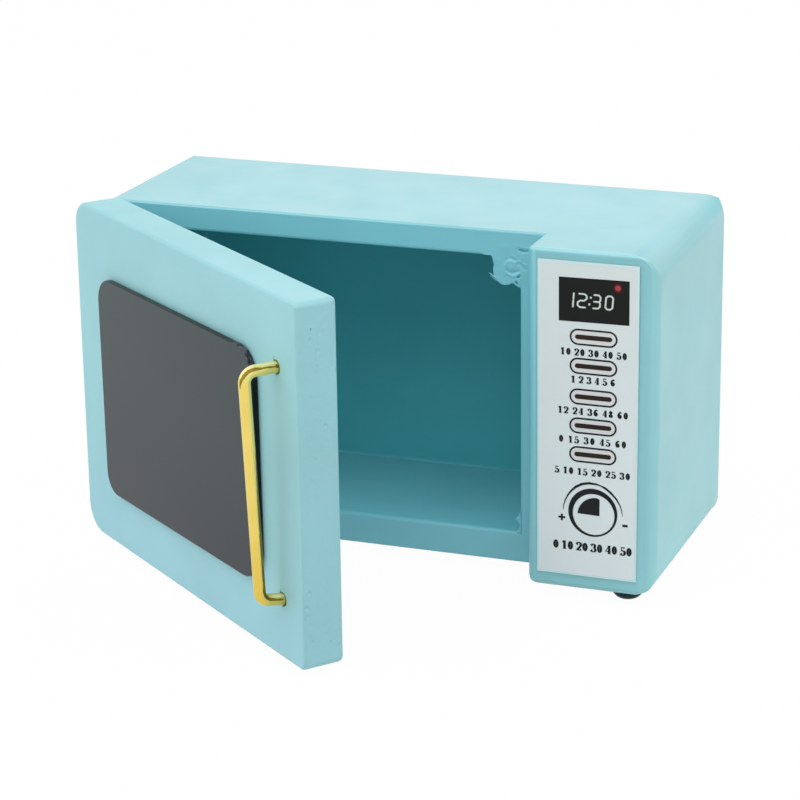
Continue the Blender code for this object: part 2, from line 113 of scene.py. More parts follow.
# Noise scales of the paint, to the metre: clouds of colour, orange peel, pinholes, the patches that have
# pinholes, worn gloss, and brush marks along each axis.
CLOUD_SCALE = 95.0
PEEL_SCALE = 1500.0
PINHOLE_SCALE = 1100.0
PATCH_SCALE = 420.0
GLOSS_SCALE = 260.0
STROKE_SCALES = (160.0, 900.0, 2600.0)
# Where in its noise each of them starts and is at its fullest.
CLOUD_SPAN = (0.35, 0.7)
PINHOLE_SPAN = (0.1, 0.26)
PATCH_SPAN = (0.5, 0.62)
GLOSS_SPAN = (0.3, 0.7)
PAINT_RELIEF = 0.06 * MM
GLOSS_DRIFT = 0.05
THIN_SHARE = 0.93
# The same for the drift of colour and of gloss in the other finishes, and how much finer their relief is.
COLOUR_DRIFT_SPAN, GLOSS_DRIFT_SPAN = (0.3, 0.7), (0.25, 0.75)
FINE_TO_DRIFT = 6
# Pale scuffs and a painted highlight on the window's edge, by the handle's upper hole: where they are, how
# far they reach and up to which share of that they are thick, and the edge's roughness without and with them.
SCUFF_HIGHLIGHT_SCALE, SCUFF_HIGHLIGHT_SPAN = 2600.0, (0.44, 0.62)
SCUFF_HIGHLIGHT_PLACE, SCUFF_HIGHLIGHT_REACH, SCUFF_HIGHLIGHT_CORE = Vector((28.3, -0.25, 22.0)), 2.4 * MM, 0.35
EDGE_ROUGHNESS = (0.3, 0.6)


class Bench:
    """Adds nodes to a tree. A value is either a constant or another node's socket."""

    def __init__(self, tree):
        self.tree = tree

    def add(self, kind, values=None, **settings):
        node = self.tree.nodes.new(kind)
        for name, setting in settings.items():
            setattr(node, name, setting)
        for name, value in (values or {}).items():
            self.feed(node.inputs[name], value)
        return node

    def feed(self, socket, value):
        if isinstance(value, bpy.types.NodeSocket):
            self.tree.links.new(value, socket)
        else:
            socket.default_value = value

    def sum(self, first, second, operation="ADD"):
        return self.add("ShaderNodeMath", {0: first, 1: second}, operation=operation).outputs[0]

    def spread(self, value, low, high, to_low=0.0, to_high=1.0):
        """Maps a value from one span to another and holds it inside."""
        values = {"Value": value, "From Min": low, "From Max": high, "To Min": to_low, "To Max": to_high}
        return self.add("ShaderNodeMapRange", values).outputs["Result"]

    def noise(self, vector, scale, detail=2.0, roughness=0.5):
        values = {"Vector": vector, "Scale": scale, "Detail": detail, "Roughness": roughness}
        return self.add("ShaderNodeTexNoise", values).outputs["Fac"]

    def stretched(self, vector, scale):
        return self.add("ShaderNodeMapping", {"Vector": vector, "Scale": scale}).outputs["Vector"]

    def place(self):
        """Where a point lies in the object's own frame."""
        return self.add("ShaderNodeTexCoord").outputs["Object"]

    def mixed(self, share, first, second, blend_type="MIX"):
        values = {0: share, 6: first, 7: second}
        return self.add("ShaderNodeMix", values, data_type="RGBA", blend_type=blend_type).outputs[2]

    def relief(self, height, depth):
        values = {"Strength": 1.0, "Distance": depth, "Height": height}
        return self.add("ShaderNodeBump", values).outputs["Normal"]


def new_group(name, takes, gives):
    """A shader node group with named sockets, with its bench and its two ends."""
    group = bpy.data.node_groups.new(name, "ShaderNodeTree")
    for label, kind, start in takes:
        socket = group.interface.new_socket(label, in_out="INPUT", socket_type=kind)
        socket.default_value = start
    for label, kind in gives:
        group.interface.new_socket(label, in_out="OUTPUT", socket_type=kind)
    bench = Bench(group)
    return group, bench, bench.add("NodeGroupInput").outputs, bench.add("NodeGroupOutput").inputs


def brushed_paint_group():
    """Thick brushed paint: cloudy colour, uneven gloss, brush marks, orange peel and pinholes."""
    group, bench, taken, given = new_group(
        "brushed_paint",
        [
            ("Colour", "NodeSocketColor", (0.2, 0.5, 0.6, 1.0)),
            ("Thin Colour", "NodeSocketColor", (0.2, 0.5, 0.6, 1.0)),
            ("Gloss", "NodeSocketFloat", 0.3),
            ("Brush", "NodeSocketFloat", 0.3),
            ("Peel", "NodeSocketFloat", 0.3),
            ("Pits", "NodeSocketFloat", 0.0),
        ],
        [("Colour", "NodeSocketColor"), ("Roughness", "NodeSocketFloat"), ("Normal", "NodeSocketVector")],
    )
    place = bench.place()
    thin = bench.spread(bench.noise(place, CLOUD_SCALE, detail=3.0), *CLOUD_SPAN)
    bench.feed(given["Colour"], bench.mixed(thin, taken["Colour"], taken["Thin Colour"]))

    strokes = bench.noise(bench.stretched(place, STROKE_SCALES), 1.0, detail=4.0, roughness=0.6)
    peel = bench.noise(place, PEEL_SCALE, detail=3.0)
    holes = bench.add("ShaderNodeTexVoronoi", {"Vector": place, "Scale": PINHOLE_SCALE}, feature="F1")
    pit = bench.spread(holes.outputs["Distance"], *PINHOLE_SPAN, -1.0, 0.0)
    patchy = bench.spread(bench.noise(place, PATCH_SCALE), *PATCH_SPAN)
    pitted = bench.sum(bench.sum(pit, patchy, "MULTIPLY"), taken["Pits"], "MULTIPLY")
    height = bench.sum(
        bench.sum(strokes, taken["Brush"], "MULTIPLY"), bench.sum(peel, taken["Peel"], "MULTIPLY"),
    )
    bench.feed(given["Normal"], bench.relief(bench.sum(height, pitted), PAINT_RELIEF))
    gloss = bench.noise(place, GLOSS_SCALE, detail=4.0)
    worn = bench.spread(gloss, *GLOSS_SPAN, -GLOSS_DRIFT, GLOSS_DRIFT)
    bench.feed(given["Roughness"], bench.sum(taken["Gloss"], worn))
    return group


def finish(name, colour, roughness, shine=0.5, metal=0.0):
    """A material with its bench and its shader's sockets."""
    material = bpy.data.materials.new(name)
    material.use_nodes = True
    material.diffuse_color = (*colour, 1.0)
    shader = material.node_tree.nodes["Principled BSDF"].inputs
    shader["Base Color"].default_value = (*colour, 1.0)
    shader["Roughness"].default_value = roughness
    shader["Specular IOR Level"].default_value = shine
    shader["Metallic"].default_value = metal
    return material, Bench(material.node_tree), shader


def tinted(bench, colour, tint):
    """A colour that turns to another shade along an axis of the cabinet, between two places."""
    axis, start, end, shade = tint
    place = bench.add("ShaderNodeSeparateXYZ", {0: bench.place()})
    first, last = (CABINET.translation[axis] + MM * at for at in (start, end))
    share = bench.spread(place.outputs[axis], first, last)
    return bench.mixed(share, colour, (*shade, 1.0), "MULTIPLY")


def paint(name, group, colour, gloss, brush, peel, pits, shine, tints):
    """Aqua paint, which goes a little thinner and greyer in clouds."""
    thin_colour = [THIN_SHARE * value for value in colour]
    material, bench, shader = finish(name, colour, gloss, shine)
    made = bench.add("ShaderNodeGroup", node_tree=group)
    values = {
        "Colour": (*colour, 1.0), "Thin Colour": (*thin_colour, 1.0), "Gloss": gloss, "Brush": brush,
        "Peel": peel, "Pits": pits,
    }
    for label, value in values.items():
        made.inputs[label].default_value = value
    shown = made.outputs["Colour"]
    for tint in tints:
        shown = tinted(bench, shown, tint)
    bench.feed(shader["Base Color"], shown)
    bench.feed(shader["Roughness"], made.outputs["Roughness"])
    bench.feed(shader["Normal"], made.outputs["Normal"])
    return material


def speckled(name, colour, other, scale, roughness, gloss_drift, relief, shine, metal, tint=None):
    """A finish whose colour and gloss drift between two shades, with a little relief."""
    material, bench, shader = finish(name, colour, roughness, shine, metal)
    place = bench.place()
    drift = bench.noise(place, scale, detail=3.0)
    shown = bench.mixed(bench.spread(drift, *COLOUR_DRIFT_SPAN), (*colour, 1.0), (*other, 1.0))
    if tint:
        shown = tinted(bench, shown, tint)
    bench.feed(shader["Base Color"], shown)
    gloss = bench.spread(drift, *GLOSS_DRIFT_SPAN, roughness - gloss_drift, roughness + gloss_drift)
    bench.feed(shader["Roughness"], gloss)
    if relief:
        fine = bench.noise(place, scale * FINE_TO_DRIFT, detail=4.0)
        bench.feed(shader["Normal"], bench.relief(fine, relief * MM))
    return material


def scuffed_highlit_edge(name, colour, scuff_highlight, middle, reach):
    """A dark cut edge with pale scuffs and a painted highlight round one place."""
    material, bench, shader = finish(name, colour, 0.5, shine=0.2)
    place = bench.place()
    away = bench.add("ShaderNodeVectorMath", {0: place, 1: middle}, operation="DISTANCE").outputs["Value"]
    near = bench.spread(away, SCUFF_HIGHLIGHT_CORE * reach, reach, 1.0, 0.0)
    scuffed_lit = bench.noise(place, SCUFF_HIGHLIGHT_SCALE, detail=5.0, roughness=0.7)
    scuffed_lit = bench.spread(scuffed_lit, *SCUFF_HIGHLIGHT_SPAN)
    share = bench.sum(near, scuffed_lit, "MULTIPLY")
    bench.feed(shader["Base Color"], bench.mixed(share, (*colour, 1.0), (*scuff_highlight, 1.0)))
    bench.feed(shader["Roughness"], bench.spread(share, 0.0, 1.0, *EDGE_ROUGHNESS))
    return material


def make_finishes():
    """Every finish, by its name."""
    # Each tint is the axis it runs along, where it starts and ends, and the shade at its end.
    # Painted light: the paint turns lighter towards the cabinet's right side.
    side_painted_light = (0, WIDTH - 1.9, WIDTH - 0.2, (1.19, 1.12, 1.09))
    # Painted light: bounce from the floor, lighter towards the bottom.
    low_painted_bounce = (2, 14.0, 1.5, (1.16, 1.13, 1.11))
    door_tint = (2, 10.0, 2.0, (1.05, 1.01, 1.06))
    # Painted shade: the cavity's floor turns darker towards the back.
    cavity_floor_painted_shade = (1, 0.5, CAVITY_BACK, (0.9, 0.92, 0.91))
    # Painted light: bounce from the cavity's floor, lighter low down on its walls.
    cavity_low_painted_bounce = (2, 12.0, 3.5, (1.3, 1.2, 1.18))
    # Painted reflection: the window turns darker towards its bottom, as the floor it shows there is shaded.
    plate_painted_reflection = (2, 20.0, 7.0, (0.05, 0.3, 0.45))
    wire_tint = (2, 13.0, 5.5, (0.93, 0.87, 0.6))
    # Painted shade: the label turns darker towards its top.
    paper_painted_shade = (2, 10.0, 24.0, (0.92, 0.92, 0.91))
    # Colour, roughness, brush marks, orange peel, pinholes, shine and tints.
    # All one aqua paint, coloured face by face as painted light and shade; darkest on the cavity's walls.
    paints = {
        "cabinet_paint": ((0.217, 0.543, 0.60), 0.36, 0.12, 0.1, 0, PAINT_SHINE, [side_painted_light, low_painted_bounce]),
        "corner_highlight_paint": ((0.262, 0.65, 0.715), 0.36, 0.1, 0.1, 0, PAINT_SHINE, []),
        "edge_highlight_paint": ((0.29, 0.66, 0.72), 0.3, 0.1, 0.1, 0, PAINT_SHINE, []),
        "frame_paint": ((0.21, 0.59, 0.68), 0.42, 0.2, 0.1, 0, PAINT_SHINE, []),
        "cavity_paint": ((0.09, 0.45, 0.505), 0.6, 0.2, 0.1, 0, 0.25, [cavity_low_painted_bounce]),
        "cavity_floor_paint": ((0.21, 0.64, 0.73), 0.55, 0.6, 0.1, 0, 0.25, [cavity_floor_painted_shade]),
        "door_paint": ((0.335, 0.65, 0.695), 0.5, 0.08, 0.2, 0, 0.3, [door_tint]),
        "end_grain_paint": ((0.275, 0.59, 0.64), 0.45, 0.08, 1.4, 1, PAINT_SHINE, []),
        "putty_paint": ((0.207, 0.58, 0.67), 0.42, 0.1, 0.3, 0, PAINT_SHINE, []),
    }
    # Two colours, noise scale, roughness and its drift, relief in millimetres, shine, metal and a tint.
    others = {
        "smoked_plate": (
            (0.005, 0.024, 0.029), (0.004, 0.021, 0.026), 90, 0.12, 0.02, 0, 0.3, 0, plate_painted_reflection,
        ),
        "brass_wire": (
            (0.84, 0.665, 0.17), (0.79, 0.595, 0.13), 300, 0.22, 0.04, 0.003, 0.5, 0.65, wire_tint,
        ),
        # Painted reflections and a painted highlight, laid on the wire in streaks.
        "wire_painted_dark_reflection": ((0.15, 0.10, 0.004), (0.26, 0.18, 0.01), 900, 0.35, 0.05, 0.003, 0.5, 0.5),
        "wire_painted_highlight": ((0.93, 0.90, 0.52), (0.88, 0.83, 0.40), 700, 0.22, 0.04, 0.003, 0.5, 0.25),
        "wire_painted_pale_reflection": ((0.80, 0.73, 0.22), (0.74, 0.65, 0.17), 500, 0.3, 0.04, 0.003, 0.5, 0.3, wire_tint),
        "hinge_brass": ((0.70, 0.50, 0.16), (0.55, 0.38, 0.12), 900, 0.34, 0.08, 0.004, 0.5, 1),
        "disc_steel": ((0.50, 0.51, 0.53), (0.36, 0.37, 0.39), 1200, 0.32, 0.08, 0.004, 0.5, 1),
        "label_paper": (
            (0.78, 0.85, 0.86), (0.765, 0.835, 0.855), 160, 0.5, 0.05, 0.002, 0.25, 0, paper_painted_shade,
        ),
        "label_edge_highlight": ((0.62, 0.82, 0.84), (0.68, 0.84, 0.86), 900, 0.5, 0.06, 0, 0.25, 0),
        "black_ink": ((0.010, 0.013, 0.014), (0.014, 0.017, 0.018), 600, 0.45, 0.06, 0, 0.12, 0),
        "display_pane": ((0.0075, 0.0105, 0.010), (0.010, 0.010, 0.010), 220, 0.3, 0.03, 0, 0.12, 0),
        "brown_ink": ((0.022, 0.015, 0.013), (0.03, 0.02, 0.016), 600, 0.45, 0.06, 0, 0.12, 0),
        "button_ink": ((0.71, 0.715, 0.72), (0.73, 0.73, 0.73), 300, 0.5, 0.06, 0, 0.25, 0),
        "digit_ink": ((0.66, 0.72, 0.68), (0.6, 0.68, 0.62), 900, 0.45, 0.06, 0, 0.5, 0),
        "red_ink": ((0.36, 0.055, 0.055), (0.4, 0.07, 0.07), 900, 0.45, 0.06, 0, 0.12, 0),
        "dark_red_ink": ((0.13, 0.012, 0.014), (0.10, 0.01, 0.012), 900, 0.45, 0.06, 0, 0.12, 0),
        "foot_rubber": ((0.0, 0.028, 0.03), (0.0, 0.04, 0.042), 500, 0.2, 0.03, 0, 0.12, 0),
    }
    group = brushed_paint_group()
    finishes = {name: paint(name, group, *values) for name, values in paints.items()}
    finishes.update((name, speckled(name, *values)) for name, values in others.items())
    finishes["smoked_plate_edge"] = scuffed_highlit_edge(
        "smoked_plate_edge", (0.004, 0.006, 0.007), (0.16, 0.15, 0.19), DOOR @ SCUFF_HIGHLIGHT_PLACE, SCUFF_HIGHLIGHT_REACH,
    )
    return finishes


# Making and placing pieces


def add_object(name, data):
    obj = bpy.data.objects.new(name, data)
    bpy.context.scene.collection.objects.link(obj)
    return obj


def draw(name, builder, *materials):
    """An object from a mesh drawn in millimetres."""
    bmesh.ops.recalc_face_normals(builder, faces=builder.faces)
    mesh = bpy.data.meshes.new(name)
    builder.to_mesh(mesh)
    builder.free()
    mesh.shade_smooth()
    for material in materials:
        mesh.materials.append(material)
    return add_object(name, mesh)


def set_in(obj, body, place):
    """Sets a drawn object in its place on a body."""
    obj.data.transform(place)
    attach(obj, body)
    return obj


def add_piece(name, builder, material, body, place):
    """A mesh drawn in millimetres becomes a piece that rides on a body."""
    obj = draw(name, builder, material)
    obj.data.set_sharp_from_angle(angle=SMOOTH_ANGLE)
    return set_in(obj, body, place)


def settle(obj):
    """Makes an object's modifiers a part of its mesh."""
    graph = bpy.context.evaluated_depsgraph_get()
    settled = bpy.data.meshes.new_from_object(obj.evaluated_get(graph), depsgraph=graph)
    obj.modifiers.clear()
    obj.data = settled
    return obj


def rounded(obj, width, segments, by_weight=False):
    """Rounds edges: every hard one, or each by its own weight."""
    bevel = obj.modifiers.new("rounded", "BEVEL")
    bevel.width = width
    bevel.segments = segments
    bevel.use_clamp_overlap = False
    bevel.harden_normals = True
    bevel.limit_method = "WEIGHT" if by_weight else "ANGLE"
    bevel.angle_limit = SMOOTH_ANGLE
    return settle(obj)


def cut_away(obj, tools):
    """Takes tools out of an object and clears them away."""
    for tool in tools:
        boolean = obj.modifiers.new("cut", "BOOLEAN")
        boolean.operation = "DIFFERENCE"
        boolean.solver = "EXACT"
        boolean.object = tool
    settle(obj)
    for tool in tools:
        bpy.data.objects.remove(tool, do_unlink=True)
    return obj


def keep_flats(obj):
    """Shades the faces along the axes flat after a cut, and rounds the rest over to them."""
    mesh = obj.data
    mesh.shade_smooth()
    mesh.set_sharp_from_angle(angle=math.pi)
    around = [[] for vertex in mesh.vertices]
    flat = []
    for face in mesh.polygons:
        flat.append(max(abs(share) for share in face.normal) > FLAT_COSINE)
        for vertex in face.vertices:
            around[vertex].append(face.index)
    reach = math.cos(SMOOTH_ANGLE)
    normals = []
    for face in mesh.polygons:
        for vertex in face.vertices:
            near = [at for at in around[vertex] if mesh.polygons[at].normal.dot(face.normal) > reach]
            flats = [at for at in near if flat[at]]
            if flat[face.index]:
                flats = [face.index]
            total = sum((mesh.polygons[at].normal for at in flats or near), Vector())
            normals.append(total.normalized())
    mesh.normals_split_custom_set(normals)
    return obj


def oval(centre, radius_u, radius_v, start, end, steps=CURVE_STEPS):
    """Points of an oval's arc, with its angles in degrees."""
    angles = [math.radians(start + (end - start) * step / steps) for step in range(steps + 1)]
    return [(centre[0] + radius_u * math.cos(a), centre[1] + radius_v * math.sin(a)) for a in angles]


def arc(centre, radius, start, end, steps):
    return oval(centre, radius, radius, start, end, steps)


def closed_oval(centre, radius_u, radius_v, sides):
    """Points all round an oval, each once."""
    return oval(centre, radius_u, radius_v, 0, 360 * (sides - 1) / sides, sides - 1)


def bar(left, low, right, high):
    return [(left, low), (right, low), (right, high), (left, high)]


def rounded_rectangle(left, low, right, high, radii, steps=10):
    """The outline from the low left corner round, with a radius for each corner."""
    low_left, low_right, high_right, high_left = radii
    return (
        arc((left + low_left, low + low_left), low_left, 180, 270, steps)
        + arc((right - low_right, low + low_right), low_right, 270, 360, steps)
        + arc((right - high_right, high - high_right), high_right, 0, 90, steps)
        + arc((left + high_left, high - high_left), high_left, 90, 180, steps)
    )


def add_prism(builder, outline, front, back):
    """A closed solid between two depths of one outline."""
    rings = [[builder.verts.new((u, depth, v)) for u, v in outline] for depth in (front, back)]
    builder.faces.new(rings[0])
    builder.faces.new(rings[1][::-1])
    add_walls(builder, rings[0], rings[1])


def add_walls(builder, first, second):
    """Joins two rings of points with a wall."""
    count = len(first)
    return [
        builder.faces.new((first[at], first[(at + 1) % count], second[(at + 1) % count], second[at]))
        for at in range(count)
    ]


def add_band(builder, outer, inner, front, back):
    """A closed band between an outer and an inner outline of as many points."""
    rings = [
        [builder.verts.new((u, depth, v)) for u, v in outline]
        for outline, depth in ((outer, front), (inner, front), (inner, back), (outer, back))
    ]
    for first, second in zip(rings, rings[1:] + rings[:1]):
        add_walls(builder, first, second)


def add_rod(builder, points, radii):
    """A closed tapering rod along points."""
    rings = []
    for at, point in enumerate(points):
        ahead = points[min(at + 1, len(points) - 1)] - points[max(at - 1, 0)]
        turn = ahead.normalized().to_track_quat("Z", "Y").to_matrix()
        rings.append([
            builder.verts.new(point + turn @ Vector((radii[at] * math.cos(a), radii[at] * math.sin(a), 0)))
            for a in (2 * math.pi * side / STRAND_SIDES for side in range(STRAND_SIDES))
        ])
    builder.faces.new(rings[0][::-1])
    builder.faces.new(rings[-1])
    for first, second in zip(rings, rings[1:]):
        add_walls(builder, first, second)


def prism_tool(outline, front, back):
    """A prism to cut with."""
    builder = bmesh.new()
    add_prism(builder, outline, front, back)
    return draw("tool", builder)


# Cabinet

# Radii of the shell's edges, from the front corner of the hinge side round: the upright edge at each corner,
# and the top and base edges from there to the next.
UPRIGHT_ROUNDS = (0.25, 0.12, 0.72, 1.0, 0.6, 0.3)
TOP_ROUNDS = (0.25, 0.35, 0.35, 2.2, 0.3, 0.3)
BASE_ROUNDS = (0.18, 0.65, 0.5, 1.75, 0.3, 0.3)
WIDEST_ROUND = max(TOP_ROUNDS)
SHELL_SEGMENTS = 8
# And those of the cavity's mouth, from its low edge round, of the edges that run back from it, and of its
# far end.
MOUTH_ROUNDS = (0.4, 0.22, 0.22, 0.22)
CAVITY_EDGE_ROUND, CAVITY_BACK_ROUND = 0.15, 0.25
SHELL_PAINTS = (
    "cabinet_paint", "frame_paint", "cavity_paint", "cavity_floor_paint", "corner_highlight_paint",
    "edge_highlight_paint",
)
FRAME_FACES, CAVITY_FACES, CAVITY_FLOOR_FACES, CORNER_HIGHLIGHT_FACES, EDGE_HIGHLIGHT_FACES = 1, 2, 3, 4, 5
# Painted highlights make the paint paler on the block's left front corner and on its top front edge. Each has
# its reach, and how far up its faces point, at most on the corner and at least on the edge.
CORNER_SPAN, CORNER_RISE = 0.68, 0.5
EDGE_HIGHLIGHT_SPAN, EDGE_HIGHLIGHT_RISE = 0.4, 0.5
# A crack in the frame's paint above the catch, which the painted lump has as well.
CRACK = [
    (33.98, 25.3), (34.1, 25.16), (34.4, 25.08), (34.68, 25.12), (34.8, 25.22), (34.5, 25.24), (34.2, 25.27),
]
CRACK_DEPTH = 0.3


def make_cabinet_shell(finishes):
    """The cabinet's painted skin in one piece: an L seen from above, with the cavity let into its front."""
    builder = bmesh.new()
    plan = [
        (0, 0), (BLOCK_LEFT, 0), (BLOCK_LEFT, -BLOCK_REACH),
        (WIDTH, -BLOCK_REACH), (WIDTH, DEPTH), (0, DEPTH),
    ]
    mouth = [
        (CAVITY_LEFT, CAVITY_FLOOR), (CAVITY_RIGHT, CAVITY_FLOOR),
        (CAVITY_RIGHT, CAVITY_CEILING), (CAVITY_LEFT, CAVITY_CEILING),
    ]
    low = [builder.verts.new((x, y, 0)) for x, y in plan]
    high = [builder.verts.new((x, y, HEIGHT)) for x, y in plan]
    rim = [builder.verts.new((x, 0, z)) for x, z in mouth]
    deep = [builder.verts.new((x, CAVITY_BACK, z)) for x, z in mouth]
    builder.faces.new(low[::-1])
    builder.faces.new(high)
    front = [low[0], low[1], high[1], high[0]]
    for face in add_walls(builder, front, rim):
        face.material_index = FRAME_FACES
    for face in (builder.faces.new(deep), *add_walls(builder, rim, deep)):
        face.material_index = CAVITY_FACES
    builder.faces.get((rim[0], rim[1], deep[1], deep[0])).material_index = CAVITY_FLOOR_FACES
    for at in range(1, len(plan)):
        after = (at + 1) % len(plan)
        builder.faces.new((low[at], low[after], high[after], high[at]))

    weights = builder.edges.layers.float.new("bevel_weight_edge")
    rounds = []
    for at, (post, top, base) in enumerate(zip(UPRIGHT_ROUNDS, TOP_ROUNDS, BASE_ROUNDS)):
        after = (at + 1) % len(plan)
        rounds += [(low[at], high[at], post), (high[at], high[after], top), (low[at], low[after], base)]
    for at, mouth_round in enumerate(MOUTH_ROUNDS):
        after = (at + 1) % len(mouth)
        rounds += [
            (rim[at], rim[after], mouth_round), (rim[at], deep[at], CAVITY_EDGE_ROUND),
            (deep[at], deep[after], CAVITY_BACK_ROUND),
        ]
    for first, second, radius in rounds:
        builder.edges.get((first, second))[weights] = radius / WIDEST_ROUND
    looks = [finishes[name] for name in SHELL_PAINTS]
    shell = draw("cabinet_shell", builder, *looks)
    rounded(shell, WIDEST_ROUND, SHELL_SEGMENTS, by_weight=True)
    keep_flats(cut_away(shell, [prism_tool(CRACK, -CRACK_DEPTH, CRACK_DEPTH)]))
    # Painted highlights: paler paint on the block's left front corner and on its top front edge.
    for face in shell.data.polygons:
        x, y, z = face.center
        rise = face.normal.z
        if x < BLOCK_LEFT + CORNER_SPAN and y < CORNER_SPAN - BLOCK_REACH and abs(rise) < CORNER_RISE:
            face.material_index = CORNER_HIGHLIGHT_FACES
        elif z > HEIGHT - EDGE_HIGHLIGHT_SPAN and y < EDGE_HIGHLIGHT_SPAN - BLOCK_REACH and rise > EDGE_HIGHLIGHT_RISE:
            face.material_index = EDGE_HIGHLIGHT_FACES
    set_in(shell, "cabinet", CABINET)
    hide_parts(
        "top_board", "bottom_board", "left_side_board", "partition_board", "back_board",
        "control_block",
    )


# Catch and drips

# The edge of the painted putty as it shows at the mouth of the cavity, from the ceiling round.
LUMP_EDGE = [
    (31.76, 24.8), (31.92, 24.35), (32.02, 23.94), (31.99, 23.69), (31.98, 23.36), (32.02, 23.08),
    (32.08, 22.88), (32.29, 22.64), (32.54, 22.48), (32.71, 22.39), (32.88, 22.35), (33.01, 22.41),
    (33.17, 22.41), (33.34, 22.52), (33.55, 22.6), (33.76, 22.52), (33.93, 22.37), (34.08, 22.26),
    (34.25, 22.2), (34.25, 24.8),
]
# Where the same paint is smeared over the frame's corner.
SMEAR_EDGE = [
    (31.1, 24.62), (31.5, 25.3), (32.2, 25.9), (33.3, 26.15), (35.2, 26.15), (35.7, 25.8), (35.7, 23.0),
    (35.3, 22.2), (34.7, 21.8), (34.28, 21.8), (34.2, 22.2), (34.02, 22.3), (34.02, 24.62),
]
LUMP_DEPTH = 1.65
SMEAR_DEPTH = 0.12
LUMP_PROUD = 0.04
SMEAR_PROUD = 0.02
SMEAR_FADE = 0.8
LUMP_VOXEL = 0.05
# Points less deep than this are the lump's front, which eases into the smear either side of the mouth's edge.
FRONT_SKIN = 0.03
MOUTH_EASE = 0.4
# Unevenness of the paint: how high it is, how many waves to the millimetre, and its layer of the noise. The
# smear has only a share of it.
LUMP_WAVES = [(0.02, 3.1, 0.4), (0.008, 9.0, 1.7)]
SMEAR_WAVES_SHARE = 0.2
# Grooves and ridges in the paint: points, how far it stands proud, and half its width.
LUMP_CREASES = [
    ([(32.83, 24.05), (32.92, 24.24), (33.04, 24.39)], -0.05, 0.09),
    ([(33.27, 24.49), (33.51, 24.46), (33.75, 24.36)], -0.06, 0.09),
    ([(33.13, 24.23), (33.30, 24.29), (33.51, 24.23)], 0.025, 0.08),
    ([(33.51, 24.70), (33.71, 24.65)], 0.03, 0.09),
    ([(33.92, 24.29), (34.09, 24.39)], 0.035, 0.07),
    ([(34.26, 24.59), (34.33, 24.53)], 0.03, 0.08),
    ([(34.40, 24.13), (34.57, 24.08)], 0.03, 0.08),
    ([(33.92, 24.11), (34.13, 24.07), (34.33, 23.89), (34.57, 23.71)], -0.06, 0.09),
    ([(33.09, 23.55), (33.33, 23.40), (33.57, 23.33), (33.85, 23.49)], -0.07, 0.11),
    ([(32.92, 23.40), (33.19, 23.21), (33.50, 23.11), (33.78, 23.20), (34.09, 23.38)], 0.04, 0.1),
    ([(33.92, 23.04), (34.02, 23.13)], -0.22, 0.07),
    ([(33.78, 22.65), (33.87, 22.57)], -0.25, 0.06),
    ([(34.02, 25.28), (34.19, 25.13), (34.47, 25.12), (34.78, 25.21)], -0.25, 0.07),
    ([(34.09, 25.42), (34.47, 25.37), (34.74, 25.39)], 0.02, 0.1),
]
# The magnet's round, with the shares of its radius between which it slopes.
CAP_PLACE, CAP_RADIUS, CAP_PROUD = Vector((33.4, 23.9)), 0.5, 0.05
CAP_SLOPE_SHARES = (0.45, 1.2)
# Strands of paint at the lump's low edge: points and radii.
STRANDS = [
    ([(32.12, -0.02, 22.9), (31.92, -0.01, 23.03), (31.76, 0.0, 23.15), (31.64, 0.0, 23.23)],
     [0.07, 0.055, 0.04, 0.015]),
    ([(32.2, 0.05, 22.66), (31.96, 0.05, 22.82), (31.79, 0.05, 22.95), (31.65, 0.05, 23.04)],
     [0.035, 0.03, 0.022, 0.01]),
    ([(33.5, -0.03, 22.68), (33.76, -0.05, 22.5), (33.97, -0.05, 22.38), (34.14, -0.02, 22.28)],
     [0.05, 0.06, 0.05, 0.03]),
    ([(33.9, -0.02, 22.83), (34.03, -0.04, 22.67), (34.16, -0.02, 22.55)], [0.045, 0.04, 0.03]),
]
# A nib of paint that ran down into the low right corner of the mouth.
NIB_EDGE = [
    (34.15, 4.25), (34.04, 4.1), (33.9, 3.81), (33.7, 3.57), (33.86, 3.42), (34.0, 3.25), (34.04, 2.98),
    (33.98, 2.78), (33.8, 2.62), (33.8, 2.42), (34.15, 2.42),
]
NIB_FRONT, NIB_DEPTH, NIB_ROUND, NIB_SEGMENTS = 0.012, 0.6, 0.04, 3


def distance_to_line(point, line):
    """The distance in a plane from a point to a line of points."""
    nearest = math.inf
    for first, second in zip(line, line[1:]):
        run = second - first
        share = max(0.0, min(1.0, (point - first).dot(run) / run.length_squared))
        nearest = min(nearest, (point - first - share * run).length)
    return nearest


def smooth_step(value, low, high):
    share = max(0.0, min(1.0, (value - low) / (high - low)))
    return share * share * (3 - 2 * share)


def lump_front(x, z, creases, border):
    """How far in from the frame's face the paint lies."""
    point = Vector((x, z))
    proud = SMEAR_PROUD * (2 * smooth_step(distance_to_line(point, border), 0.0, SMEAR_FADE) - 1)
    inside = min(
        smooth_step(edge + MOUTH_EASE - at, 0, 2 * MOUTH_EASE)
        for edge, at in ((CAVITY_RIGHT, x), (CAVITY_CEILING, z))
    )
    proud += (LUMP_PROUD - proud) * inside
    for line, height, half_width in creases:
        share = distance_to_line(point, line) / half_width
        proud += height * math.exp(-share * share)
    slope = [share * CAP_RADIUS for share in CAP_SLOPE_SHARES]
    proud += CAP_PROUD * (1 - smooth_step((point - CAP_PLACE).length, *slope))
    rough = SMEAR_WAVES_SHARE + (1 - SMEAR_WAVES_SHARE) * inside
    for height, waves, layer in LUMP_WAVES:
        proud += height * rough * noise.noise(Vector((x * waves, z * waves, layer)))
    return -proud


